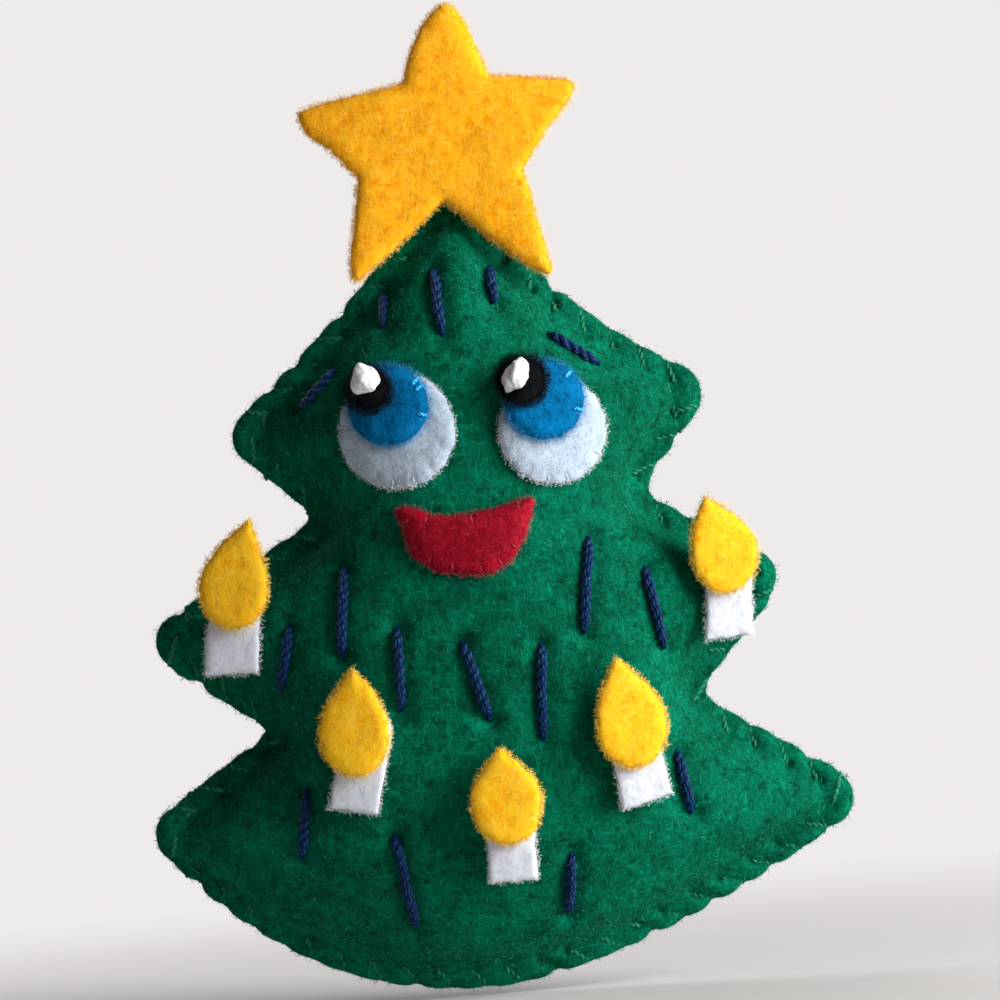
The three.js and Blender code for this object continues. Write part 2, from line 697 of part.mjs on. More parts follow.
// A layer of face felt that follows the front, over a number of layers already there
function faceLayer(outline, shares, under) {
  const low = CLEARANCE + under * (FACE_FELT + CLEARANCE);
  const depth = (off) => (x, z) => -standing(x, z, off);
  return sheet(ringMesh(outline, shares), depth(low + FACE_FELT), depth(low));
}

EYES.forEach(({ side, white, iris, pupil, glint }) => {
  add(`eye_white_${side}`, faceLayer(roundOutline(white), FACE_RINGS, 0), FINISH.white);
  add(`iris_${side}`, faceLayer(roundOutline(iris), FACE_RINGS, 1), FINISH.blue);
  add(`pupil_${side}`, faceLayer(roundOutline(pupil), FACE_RINGS, 2), FINISH.black);
  const knot = new THREE.SphereGeometry(0.5, GLINT_SIDES, GLINT_RINGS);
  knot.scale(glint.width, GLINT_DEPTH, glint.height);
  knot.rotateY(THREE.MathUtils.degToRad(glint.lean));
  const [x, z] = glint.at;
  const off = CLEARANCE + 3 * (FACE_FELT + CLEARANCE);
  knot.translate(x, -standing(x, z, off) - GLINT_DEPTH / 2, z);
  add(`glint_${side}`, knot, FINISH.knot);
});
add("mouth", faceLayer(MOUTH_POINTS, FACE_RINGS, 0), FINISH.red);

// The candles are stiff plates that rest on the swell, each with its flame in front
CANDLES.forEach((candle) => {
  const body = candleOutline(candle);
  const flame = flameOutline(candle);
  const plane = restingPlane(body, CANDLE_TILT);
  const depth = (off) => (x, z) => -plane(x, z) - off;
  const front = CANDLE_FELT + CLEARANCE;
  add(`candle_${candle.place}`, sheet(plateMesh(body), depth(CANDLE_FELT), depth(0)), FINISH.white);
  const flameSheet = sheet(plateMesh(flame), depth(front + CANDLE_FELT), depth(front));
  add(`flame_${candle.place}`, flameSheet, FINISH.yellow);
});

// The floss stitches
NEEDLES.forEach((ends, i) => {
  const name = `needle_${String(i + 1).padStart(2, "0")}`;
  add(name, tube(needlePath(ends), FLOSS, FLOSS_SIDES), FINISH.navy);
});

export default ornament;
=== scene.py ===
"""Looks of a stuffed felt tree ornament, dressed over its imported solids.

Pieces are modelled in millimetres in the outline frame: x across, y backwards from the seam between the two
panels, and z up from the lowest point of the cut edge. A depth is a distance in front of the seam, so
y = -depth. Datum.place brings a finished mesh into the part's own frame, in metres.
"""
import logging
import math
from collections.abc import Callable, Iterable, Sequence
from dataclasses import dataclass, field
from enum import Enum
from functools import lru_cache

import bpy
import numpy as np
from mathutils import Matrix, Vector, noise
from mathutils.bvhtree import BVHTree
from mathutils.geometry import delaunay_2d_cdt

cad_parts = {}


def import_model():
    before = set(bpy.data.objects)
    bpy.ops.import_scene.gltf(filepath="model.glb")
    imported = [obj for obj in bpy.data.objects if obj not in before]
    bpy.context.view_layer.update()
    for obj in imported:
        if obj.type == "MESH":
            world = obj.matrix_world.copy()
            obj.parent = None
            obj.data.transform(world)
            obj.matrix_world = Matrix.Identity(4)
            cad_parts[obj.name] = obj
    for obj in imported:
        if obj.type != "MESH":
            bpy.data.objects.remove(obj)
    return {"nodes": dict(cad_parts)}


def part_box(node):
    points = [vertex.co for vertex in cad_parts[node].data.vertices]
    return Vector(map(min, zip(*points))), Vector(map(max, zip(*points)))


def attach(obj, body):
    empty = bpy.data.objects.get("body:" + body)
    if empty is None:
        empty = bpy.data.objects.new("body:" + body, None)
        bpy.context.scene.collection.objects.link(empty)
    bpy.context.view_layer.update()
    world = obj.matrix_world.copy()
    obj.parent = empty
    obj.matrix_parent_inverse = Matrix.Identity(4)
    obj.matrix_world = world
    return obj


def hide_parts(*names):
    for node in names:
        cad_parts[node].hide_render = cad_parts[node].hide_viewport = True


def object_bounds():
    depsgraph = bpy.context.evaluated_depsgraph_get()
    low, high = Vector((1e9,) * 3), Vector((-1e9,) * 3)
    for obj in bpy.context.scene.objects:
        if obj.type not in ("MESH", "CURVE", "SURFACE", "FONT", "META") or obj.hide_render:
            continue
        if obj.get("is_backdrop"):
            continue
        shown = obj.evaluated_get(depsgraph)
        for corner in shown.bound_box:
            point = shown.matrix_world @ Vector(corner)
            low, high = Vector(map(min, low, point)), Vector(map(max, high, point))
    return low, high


LOG = logging.getLogger("felt_tree")
MM = 0.001
BODY = "root"

# A direction that no line of a fibre or thread runs along
SKEW = (0.31, 0.9, 0.2)

Array = np.ndarray
Point = tuple[float, float]
Span = tuple[float, float]
Depth = Callable[[Array, Array], Array]
Stitches = Sequence[tuple[Point, Point]]
Piece = bpy.types.Object
Socket = bpy.types.NodeSocket
Material = bpy.types.Material
Random = np.random.Generator


class Slot(Enum):
    """Names of the material slots."""

    GREEN_FELT = "green_felt"
    GREEN_THREAD = "green_thread"
    FIBRE_FILLING = "fibre_filling"
    ORANGE_FELT = "orange_felt"
    YELLOW_FELT = "yellow_felt"
    WHITE_FELT = "white_felt"
    BLUE_FELT = "blue_felt"
    BLACK_FELT = "black_felt"
    RED_FELT = "red_felt"
    NAVY_FLOSS = "navy_floss"
    WHITE_THREAD = "white_thread"


class Facing(Enum):
    """Which way a panel faces, as the sign of its depth."""

    FRONT = 1
    BACK = -1


# Small geometry


def quadratic(start: Sequence[float], bend: Sequence[float], end: Sequence[float], steps: int) -> Array:
    """Points on a quadratic curve, without its start.

    Args:
        start: The curve's first point.
        bend: The point that the curve bends towards.
        end: The curve's last point.
        steps: How many points are made.

    Returns:
        The points, one in each row.
    """
    t = np.linspace(0, 1, steps + 1)[1:, None]
    return (1 - t) ** 2 * np.array(start) + 2 * t * (1 - t) * np.array(bend) + t**2 * np.array(end)


def towards(start: Sequence[float], end: Sequence[float], reach: float) -> Array:
    """The point at a distance from one point on the way to another."""
    way = np.array(end, float) - np.array(start, float)
    return np.array(start, float) + way * reach / np.linalg.norm(way)


def distances(line: Array) -> Array:
    """How far along a line each of its points is."""
    return np.concatenate([[0], np.cumsum(np.linalg.norm(np.diff(line, axis=0), axis=1))])


def at_places(line: Array, along: Array, places: Array) -> Array:
    """The points at places along a line, of which each own point's place is known."""
    return np.stack([np.interp(places, along, column) for column in line.T], axis=1)


def even_loop(loop: Array, step: float) -> Array:
    """A closed line with its points spread evenly.

    Args:
        loop: The line's points; columns past the first two are carried along.
        step: About how far apart the new points are.

    Returns:
        The new points.
    """
    closed = np.vstack([loop, loop[:1]])
    along = distances(closed[:, :2])
    count = round(along[-1] / step)
    return at_places(closed, along, np.arange(count) * along[-1] / count)


def between(four: Sequence[Array], t: Array) -> Array:
    """Places on a smooth line from the second of four points to the third, at shares t of the way."""
    p0, p1, p2, p3 = four
    bend = 2 * p1 + (p2 - p0) * t + (2 * p0 - 5 * p1 + 4 * p2 - p3) * t**2
    return (bend + (3 * p1 - p0 - 3 * p2 + p3) * t**3) / 2


def smooth_loop(points: Array, steps: int) -> Array:
    """A smooth closed line through points.

    Args:
        points: The points that it passes.
        steps: How many points are made from each one to the next.

    Returns:
        The new points.
    """
    four = [np.roll(points, 1 - k, axis=0)[:, None] for k in range(4)]
    t = np.linspace(0, 1, steps, endpoint=False)[None, :, None]
    return between(four, t).reshape(-1, points.shape[1])


def smooth_path(points: Array, step: float, dense: int = 8, fewest: int = 3) -> Array:
    """A smooth line through points in space, cut into even steps.

    Args:
        points: The points that it passes.
        step: About how far apart the new points are.
        dense: How many points are first made from each one to the next.
        fewest: The least number of steps.

    Returns:
        The new points.
    """
    before = np.vstack([2 * points[0] - points[1], points[:-2]])
    after = np.vstack([points[2:], 2 * points[-1] - points[-2]])
    t = np.linspace(0, 1, dense, endpoint=False)[:, None]
    parts = [between(four, t) for four in zip(before, points[:-1], points[1:], after)]
    line = np.vstack([*parts, points[-1:]])
    along = distances(line)
    count = max(fewest, round(along[-1] / step))
    return at_places(line, along, np.linspace(0, along[-1], count + 1))


def clouds(points: Array, across: float, seed: float) -> Array:
    """Smooth noise from -1 to 1 at each point, with lumps about as wide as given."""
    shifted = np.asarray(points, float) / across + seed
    return np.array([noise.noise(Vector(p)) for p in shifted])


def layered(points: Array, layers: Iterable[tuple[float, float, float]]) -> Array:
    """Smooth noise in layers, each given by its height, the width of its lumps and its seed."""
    return sum(height * clouds(points, width, seed) for height, width, seed in layers)


def in_space(x: Array, z: Array, depth: Array | float) -> Array:
    """Points in space from places on the outline and depths in front of the seam."""
    return np.stack([x, -np.broadcast_to(depth, np.shape(x)), z], axis=-1)


def bell(values: Array) -> Array:
    """1 at nought, falling smoothly to 0 on both sides."""
    return np.exp(-(values**2))


def eased(values: Array) -> Array:
    """Values from 0 to 1 with a smooth start and end, held outside that range."""
    held = np.clip(values, 0, 1)
    return held * held * (3 - 2 * held)


# Frame and bench


@dataclass(frozen=True)
class Datum:
    """Where the outline frame lies in the part's frame, in metres."""

    seam_y: float
    hem_z: float

    @classmethod
    def from_frame(cls) -> "Datum":
        """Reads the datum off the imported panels."""
        front_low, front_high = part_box("front_panel")
        back_low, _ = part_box("back_panel")
        return cls((front_high.y + back_low.y) / 2, front_low.z)

    def place(self) -> Matrix:
        """The move from millimetres in the outline frame to metres in the part's frame."""
        return Matrix.Translation((0, self.seam_y, self.hem_z)) @ Matrix.Scale(MM, 4)


@dataclass
class Bench:
    """Makes objects and hands finished pieces over to the frame."""

    datum: Datum
    rng: Random

    def mesh_object(self, name: str, points: Array, faces: Sequence[Sequence[int]]) -> Piece:
        """A new smooth mesh object.

        Args:
            name: The object's name.
            points: The vertices, in millimetres.
            faces: The corners of each face.

        Returns:
            The object, linked to the scene.
        """
        mesh = bpy.data.meshes.new(name)
        mesh.from_pydata(np.asarray(points).tolist(), [], np.asarray(faces).tolist())
        made = bpy.data.objects.new(name, mesh)
        bpy.context.scene.collection.objects.link(made)
        shade_smooth(made)
        return made

    def hand_over(
        self, piece: Piece, slot: Slot, materials: Sequence[Material], nodes: Sequence[str] = ()
    ) -> None:
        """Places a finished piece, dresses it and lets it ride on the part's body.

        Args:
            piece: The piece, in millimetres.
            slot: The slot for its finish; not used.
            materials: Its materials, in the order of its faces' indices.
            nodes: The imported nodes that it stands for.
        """
        piece.data.transform(self.datum.place())
        for material in materials:
            piece.data.materials.append(material)
        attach(piece, BODY)
        if nodes:
            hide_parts(*nodes)
        LOG.info("%s: %d faces", piece.name, len(piece.data.polygons))


def threes(items: bpy.types.bpy_prop_collection, name: str, kind: type) -> Array:
    """The three numbers that each item of a mesh's list has under a name."""
    found = np.empty(len(items) * 3, kind)
    items.foreach_get(name, found)
    return found.reshape(-1, 3)


def points_of(piece: Piece) -> Array:
    """A mesh object's vertices."""
    return threes(piece.data.vertices, "co", np.float32).astype(float)


def normals_of(piece: Piece) -> Array:
    """A mesh object's vertex normals."""
    return threes(piece.data.vertex_normals, "vector", np.float32).astype(float)


def triangles_of(piece: Piece) -> Array:
    """A mesh object's faces as triangles."""
    piece.data.calc_loop_triangles()
    return threes(piece.data.loop_triangles, "vertices", np.int32)


def set_points(piece: Piece, points: Array) -> None:
    """Moves a mesh object's vertices."""
    piece.data.vertices.foreach_set("co", np.asarray(points, np.float32).ravel())
    piece.data.update()


def shade_smooth(piece: Piece) -> None:
    """Shades a mesh object smooth all over."""
    piece.data.polygons.foreach_set("use_smooth", np.ones(len(piece.data.polygons), bool))


def apply_modifier(piece: Piece, kind: str, **settings: object) -> None:
    """Adds one modifier to a piece and applies it."""
    bpy.ops.object.select_all(action="DESELECT")
    piece.select_set(True)
    bpy.context.view_layer.objects.active = piece
    modifier = piece.modifiers.new(kind.title(), kind)
    for name, value in settings.items():
        setattr(modifier, name, value)
    bpy.ops.object.modifier_apply(modifier=modifier.name)


# Finishes


def linear(colour: str) -> tuple[float, float, float, float]:
    """A written colour, such as #00704a, as the numbers that a shader takes."""
    parts = [int(colour[i : i + 2], 16) / 255 for i in (1, 3, 5)]
    red, green, blue = (c / 12.92 if c <= 0.04045 else ((c + 0.055) / 1.055) ** 2.4 for c in parts)
    return red, green, blue, 1.0


class Surface:
    """A Principled material and short ways to add nodes to it."""

    def __init__(self, name: str, roughness: float, sheen: float, tint: str, specular: float) -> None:
        """Starts a material with its constant values.

        Args:
            name: The material's name.
            roughness: The shader's roughness.
            sheen: How much of the soft light at grazing angles it has.
            tint: The colour of that light.
            specular: The shader's specular level.
        """
        self.material = bpy.data.materials.new(name)
        self.material.use_nodes = True
        self.tree = self.material.node_tree
        self.shader = self.tree.nodes["Principled BSDF"]
        self.shader.inputs["Roughness"].default_value = roughness
        self.shader.inputs["Specular IOR Level"].default_value = specular
        self.shader.inputs["Sheen Weight"].default_value = sheen
        self.shader.inputs["Sheen Roughness"].default_value = 0.45
        self.shader.inputs["Sheen Tint"].default_value = linear(tint)

    def add(self, kind: str, inputs: dict[str | int, object], **settings: object) -> bpy.types.Node:
        """A new node.

        Args:
            kind: The node's type.
            inputs: A socket to link or a value to set, for each input.
            settings: The node's own settings.

        Returns:
            The node.
        """
        node = self.tree.nodes.new(kind)
        for name, value in settings.items():
            setattr(node, name, value)
        for name, value in inputs.items():
            if isinstance(value, Socket):
                self.tree.links.new(value, node.inputs[name])
            else:
                node.inputs[name].default_value = value
        return node

    def clouds(
        self, across: float, detail: float, seed: float, drawn: tuple[float, float, float] = (1, 1, 1)
    ) -> Socket:
        """A cloudy pattern.

        Args:
            across: About how many millimetres its lumps are across.
            detail: How much finer pattern is laid over it.
            seed: Its start.
            drawn: How many times longer the lumps are along each axis.

        Returns:
            The pattern's value, from 0 to 1.
        """
        where = self.add("ShaderNodeTexCoord", {}).outputs["Object"]
        where = self.add("ShaderNodeVectorMath", {0: where, 1: drawn}, operation="DIVIDE").outputs[0]
        inputs = {"Vector": where, "W": seed, "Scale": 1 / (across * MM), "Detail": detail, "Roughness": 0.6}
        inputs["Distortion"] = 0.0 if drawn == (1, 1, 1) else 0.8
        return self.add("ShaderNodeTexNoise", inputs, noise_dimensions="4D").outputs[0]

    def spread(self, value: Socket, low: float, high: float, to: Span) -> Socket:
        """A value moved from one range to another, smoothly and held at its ends."""
        inputs = {"Value": value, "From Min": low, "From Max": high, "To Min": to[0], "To Max": to[1]}
        return self.add("ShaderNodeMapRange", inputs, interpolation_type="SMOOTHSTEP").outputs[0]

    def work(self, operation: str, first: object, second: object) -> Socket:
        """Two numbers worked into one."""
        return self.add("ShaderNodeMath", {0: first, 1: second}, operation=operation).outputs[0]

    def mix(self, share: object, first: object, second: object, blend: str = "MIX") -> Socket:
        """Two colours mixed by a share."""
        inputs = {0: share, 6: first, 7: second}
        return self.add("ShaderNodeMix", inputs, data_type="RGBA", blend_type=blend).outputs[2]

    def colour(self, socket: Socket) -> None:
        """Sends a colour to the shader."""
        self.tree.links.new(socket, self.shader.inputs["Base Color"])

    def bump(self, height: Socket, strength: float, distance: float) -> None:
        """Sends a height to the shader as a bump, its distance in millimetres."""
        inputs = {"Height": height, "Strength": strength, "Distance": distance * MM}
        node = self.add("ShaderNodeBump", inputs)
        self.tree.links.new(node.outputs[0], self.shader.inputs["Normal"])


@dataclass(frozen=True)
class FeltFinish:
    """Matted felt: deep between its clumps, its own colour on them, and streaks of paler fibres over all.

    The sizes of its clumps, fibres, grain, spots and clouds are in millimetres. Patch and mottle are the
    darkest shade of a cloud and of a spot.
    """

    name: str
    deep: str
    base: str
    pale: str
    clump: float = 0.75
    fibre: float = 0.3
    fibre_length: float = 4.0
    grain: float = 0.16
    spot: float = 2.6
    cloud: float = 9.0
    streaks: float = 0.5
    bump: float = 0.3
    sheen: float = 0.1
    patch: float = 0.9
    mottle: float = 0.9

    @lru_cache
    def material(self) -> Material:
        """The felt's material, made once."""
        surface = Surface(self.name, roughness=0.95, sheen=self.sheen, tint=self.base, specular=0.05)
        clump = surface.clouds(self.clump, detail=3.0, seed=1.0)
        level = surface.clouds(self.fibre, detail=1.0, seed=4.0, drawn=(self.fibre_length, 1, 1))
        upright = surface.clouds(self.fibre, detail=1.0, seed=5.0, drawn=(1, 1, self.fibre_length))
        fibres = surface.work("MAXIMUM", level, upright)
        on_clumps = surface.spread(clump, low=0.3, high=0.55, to=(0, 1))
        tone = surface.mix(on_clumps, linear(self.deep), linear(self.base))
        on_fibres = surface.spread(fibres, low=0.52, high=0.74, to=(0, self.streaks))
        tone = surface.mix(on_fibres, tone, linear(self.pale))
        spots = surface.clouds(self.spot, detail=2.0, seed=6.0)
        spots = surface.spread(spots, low=0.32, high=0.62, to=(self.mottle, 1.0))
        broad = surface.clouds(self.cloud, detail=2.0, seed=2.0)
        broad = surface.spread(broad, low=0.3, high=0.7, to=(self.patch, 1.0))
        shade = surface.work("MULTIPLY", broad, spots)
        grey = surface.add("ShaderNodeCombineColor", {0: shade, 1: shade, 2: shade}).outputs[0]
        surface.colour(surface.mix(1.0, tone, grey, "MULTIPLY"))
        height = surface.work("ADD", clump, surface.work("MULTIPLY", fibres, 0.5))
        grain = surface.work("MULTIPLY", surface.clouds(self.grain, detail=2.0, seed=3.0), 0.3)
        surface.bump(surface.work("ADD", height, grain), strength=self.bump, distance=0.35)
        return surface.material


@dataclass(frozen=True)
class ThreadFinish:
    """Spun thread with a soft shine and a few paler filaments. Sizes are in millimetres."""

    name: str
    deep: str
    base: str
    pale: str
    roughness: float = 0.5
    specular: float = 0.4
    filament: float = 0.35
    grain: float = 0.12

    @lru_cache
    def material(self) -> Material:
        """The thread's material, made once."""
        surface = Surface(self.name, self.roughness, sheen=0.1, tint=self.pale, specular=self.specular)
        spin = surface.clouds(self.filament, detail=3.0, seed=1.0)
        raised = surface.spread(spin, low=0.3, high=0.52, to=(0, 1))
        tone = surface.mix(raised, linear(self.deep), linear(self.base))
        crests = surface.spread(spin, low=0.55, high=0.75, to=(0, 0.6))
        surface.colour(surface.mix(crests, tone, linear(self.pale)))
        surface.bump(surface.clouds(self.grain, detail=2.0, seed=2.0), strength=0.4, distance=0.06)
        return surface.material


@dataclass(frozen=True)
class FibreFinish:
    """Single loose fibres in a few plain shades, and the share of the fibres that has each."""

    name: str
    shades: tuple[str, ...]
    shares: tuple[float, ...] = (0.4, 0.4, 0.2)

    @lru_cache
    def materials(self) -> list[Material]:
        """One material for each shade, made once."""
        made = []
        for index, shade in enumerate(self.shades):
            name = f"{self.name}_{index + 1}"
            surface = Surface(name, roughness=0.9, sheen=0.1, tint=shade, specular=0.1)
            surface.shader.inputs["Base Color"].default_value = linear(shade)
            made.append(surface.material)
        return made


@dataclass(frozen=True)
class Felt:
    """One colour of felt: its face, the loose fibres on it and the fibres at a cut edge, mostly painted paler
    than the felt as painted light shining through them.
    """

    slot: Slot
    face: FeltFinish
    fibres: FibreFinish
    down: FibreFinish

    @classmethod
    def of(cls, slot: Slot, name: str, face: str, fibres: str, down: str, **looks: float) -> "Felt":
        """A felt from its shades, each three colours from deep to pale.

        Args:
            slot: Its material slot.
            name: The felt's name.
            face: The shades of its face.
            fibres: The shades of the fibres on it.
            down: The shades of the fibres at its edge, mostly painted paler than the felt: painted light
                through the fibres.
            looks: What else its face is given.

        Returns:
            The felt.
        """
        on_face, at_edge = (
            FibreFinish(f"{name}_{kind}", tuple(shades.split()))
            for kind, shades in (("fibres", fibres), ("down", down))
        )
        return cls(slot, FeltFinish(f"{name}_felt", *face.split(), **looks), on_face, at_edge)


# The last three shades of each felt are its edge fibres, mostly painted paler than the felt: painted light
# that stands in for light shining through thin fibres and for lit fibres where they lie in shade.
GREEN = Felt.of(
    Slot.GREEN_FELT, "green",
    "#00402d #006549 #00946d", "#005c42 #007c58 #1c9e7c", "#0a7e5e #22a07c #58c0a2",
    bump=0.45, streaks=0.55, patch=0.76, mottle=0.64,
)
ORANGE = Felt.of(
    Slot.ORANGE_FELT, "orange",
    "#f49600 #ffb21a #ffc840", "#ffb226 #ffc03c #ffd468", "#ffc03c #ffcc58 #ffdc88",
    clump=1.2, bump=0.2, streaks=0.6, mottle=0.92,
)
YELLOW = Felt.of(
    Slot.YELLOW_FELT, "yellow",
    "#fcb010 #ffc422 #ffda54", "#ffc022 #ffce3c #ffde68", "#ffcc38 #ffd858 #ffe88c",
    clump=1.3, bump=0.2, streaks=0.45, mottle=0.93,
)
WHITE = Felt.of(
    Slot.WHITE_FELT, "white",
    "#cbd0db #d8dce6 #e5e8f0", "#dadee8 #e4e7ef #eff0f5", "#eceef4 #f6f7fa #ffffff",
    bump=0.16, patch=0.97, mottle=0.95,
)
# White felt painted grey-blue: painted shade and a painted blue-green reflection on the eye whites, which are
# the same white felt as the candles. Its edge shades are painted light.
EYE_WHITE_IN_PAINTED_SHADE = Felt.of(
    Slot.WHITE_FELT, "eye_white",
    "#9bacbd #b0c0d0 #c8d4e0", "#b6c4d3 #cbd6e1 #e2e8ee", "#f2f6fa #fafcfe #ffffff",
    clump=1.0, bump=0.26, patch=0.93, mottle=0.88,
)
BLUE = Felt.of(
    Slot.BLUE_FELT, "blue",
    "#005080 #006ca4 #0a8ac0", "#00649a #0478b0 #2898ce", "#0878b0 #2490c6 #54b0dc",
    patch=0.85, mottle=0.75,
)
BLACK = Felt.of(
    Slot.BLACK_FELT, "black",
    "#040506 #0a0c0f #181d22", "#0c0e11 #14181c #242b30", "#060809 #0c0f12 #161b20",
)
RED = Felt.of(
    Slot.RED_FELT, "red",
    "#7c0818 #9c0e24 #b82e40", "#9a1024 #ac2034 #c44c5c", "#a81c30 #c03c4c #d8707c",
    patch=0.86, mottle=0.8,
)
FILLING = FeltFinish("fibre_filling", "#d8d4c8", "#e9e6dc", "#f6f4ee", clump=2.0)
GREEN_THREAD = ThreadFinish("green_thread", "#00543a", "#107050", "#48a484", roughness=0.6, specular=0.2)
NAVY_FLOSS = ThreadFinish("navy_floss", "#021238", "#03264e", "#1c74b4", roughness=0.4, specular=0.12)
WHITE_THREAD = ThreadFinish("white_thread", "#cdd0d6", "#dadce2", "#e6e7eb", roughness=0.9, specular=0.1)
# White thread painted grey-blue to match the eye whites: painted shade.
EYE_THREAD_IN_PAINTED_SHADE = ThreadFinish("eye_thread_in_painted_shade", "#a8b8c8", "#bac8d6", "#ccd6e0", roughness=0.9, specular=0.1)
# Real blue thread, painted bright cyan so that its stitches show as painted glints.
BLUE_THREAD_WITH_PAINTED_GLINT = ThreadFinish("blue_thread_with_painted_glint", "#0a86c0", "#14a8e0", "#5cd8fc", roughness=0.3)
RED_THREAD = ThreadFinish("red_thread", "#880c1e", "#9c1428", "#b43042", roughness=0.5, specular=0.3)


# Fibres and threads


@dataclass(frozen=True)
class Nap:
    """Loose fibres on felt. Lengths are in millimetres, and the density in fibres on a square millimetre.

    Bend and curl are shares of a fibre's length. Rim says how many more grow where the felt turns away.
    """

    density: float
    length: Span
    width: float
    arch: float
    stand: float
    rings: int = 3
    rim: float = 0.0
    bend: float = 0.35
    curl: float = 0.12
    waves: Span = (0.6, 1.4)
    arches: Span = (0.4, 1.3)

    def grow(
        self, bench: Bench, name: str, points: Array, triangles: Array, finish: FibreFinish, slot: Slot
    ) -> None:
        """Grows the fibres on a surface.

        Args:
            bench: Where the piece is made.
            name: The piece's name.
            points: The surface's vertices.
            triangles: The surface's triangles.
            finish: The fibres' shades.
            slot: The slot for the fibres.
        """
        lines = self.centrelines(bench.rng, *self.roots(bench.rng, points, triangles))
        strands(bench, name, lines, self.width, finish, slot)

    def roots(self, rng: Random, points: Array, triangles: Array) -> tuple[Array, Array]:
        """Places for the fibres, more of them where the felt turns away from the front."""
        a, b, c = (points[triangles[:, k]] for k in range(3))
        square = np.cross(b - a, c - a)
        area = np.linalg.norm(square, axis=1) / 2
        normals = square / np.maximum(2 * area, 1e-12)[:, None]
        weight = area * (1 + self.rim * (1 - np.abs(normals[:, 1])) ** 2)
        chosen = rng.choice(len(area), int(self.density * weight.sum()), p=weight / weight.sum())
        u, v = rng.random((2, len(chosen), 1))
        over = u + v > 1
        u, v = np.where(over, 1 - u, u), np.where(over, 1 - v, v)
        a, b, c = a[chosen], b[chosen], c[chosen]
        return a + u * (b - a) + v * (c - a), normals[chosen]

    def centrelines(self, rng: Random, roots: Array, normals: Array) -> Array:
        """The fibres' middle lines."""
        count = len(roots)
        tangent = np.cross(normals, rng.normal(size=(count, 3)))
        tangent /= np.linalg.norm(tangent, axis=1)[:, None]
        side = np.cross(normals, tangent)
        t = np.linspace(0, 1, self.rings + 2)[None, :, None]
        length = rng.uniform(*self.length, (count, 1, 1))
        bend = rng.normal(0, self.bend, (count, 1, 1)) * length
        curl = rng.normal(0, self.curl, (count, 1, 1)) * length
        wave = np.sin(2 * np.pi * (t * rng.uniform(*self.waves, (count, 1, 1)) + rng.random((count, 1, 1))))
        rise = self.arch * rng.uniform(*self.arches, (count, 1, 1)) * 4 * t * (1 - t)
        rise = rise + self.stand * rng.uniform(0, 1, (count, 1, 1)) * length * t - self.width
        ahead = np.sqrt(np.maximum(1 - self.stand**2, 0.05))
        line = roots[:, None] + tangent[:, None] * length * t * ahead
        return line + side[:, None] * (bend * t**2 + curl * wave) + normals[:, None] * rise


@dataclass(frozen=True)
class Fray:
    """Fibres out of a cut edge. Lengths are in millimetres, and the density in fibres on a millimetre.

    Lift is a share of the felt's thickness. Turn is in radians, and bend and droop are shares.
    """

    density: float
    length: Span
    lift: Span = (0.3, 0.95)
    width: float = 0.026
    turn: float = 0.7
    rooted: float = 0.5
    scatter: float = 0.1
    bend: float = 0.3
    droop: float = 0.3
    points: int = 4

    def grow(
        self, bench: Bench, name: str, edge: tuple[Array, Array], layer: tuple[Depth, Depth], felt: Felt
    ) -> None:
        """Grows the fibres, which droop towards what lies under the felt.

        Args:
            bench: Where the piece is made.
            name: The piece's name.
            edge: The edge's points, evenly spread, and the way in at each.
            layer: The depth of what is under the felt, and the felt's thickness.
            felt: The felt's colour.
        """
        rng, (loop, way_in), (under, thick) = bench.rng, edge, layer
        step = np.linalg.norm(loop[1] - loop[0])
        chosen = rng.integers(len(loop), size=int(len(loop) * step * self.density))
        count, out = len(chosen), -way_in[chosen]
        start = loop[chosen] - out * rng.uniform(0, self.rooted, (count, 1))
        start = start + rng.normal(0, self.scatter, (count, 2))
        aside = np.stack([-out[:, 1], out[:, 0]], axis=1)
        turn = rng.normal(0, self.turn, (count, 1))
        way = out * np.cos(turn) + aside * np.sin(turn)
        t = np.linspace(0, 1, self.points)[None, :, None]
        length = rng.uniform(*self.length, (count, 1, 1))
        bend = rng.normal(0, self.bend, (count, 1, 1)) * length
        x, z = np.moveaxis(start[:, None] + way[:, None] * length * t + aside[:, None] * bend * t**2, 2, 0)
        lift = (thick(*start.T) * rng.uniform(*self.lift, count))[:, None] * (1 - self.droop * t[..., 0] ** 2)
        # felt.down holds the edge fibres' painted-light shades, paler than the felt.
        strands(bench, name, in_space(x, z, under(x, z) + lift), self.width, felt.down, felt.slot)


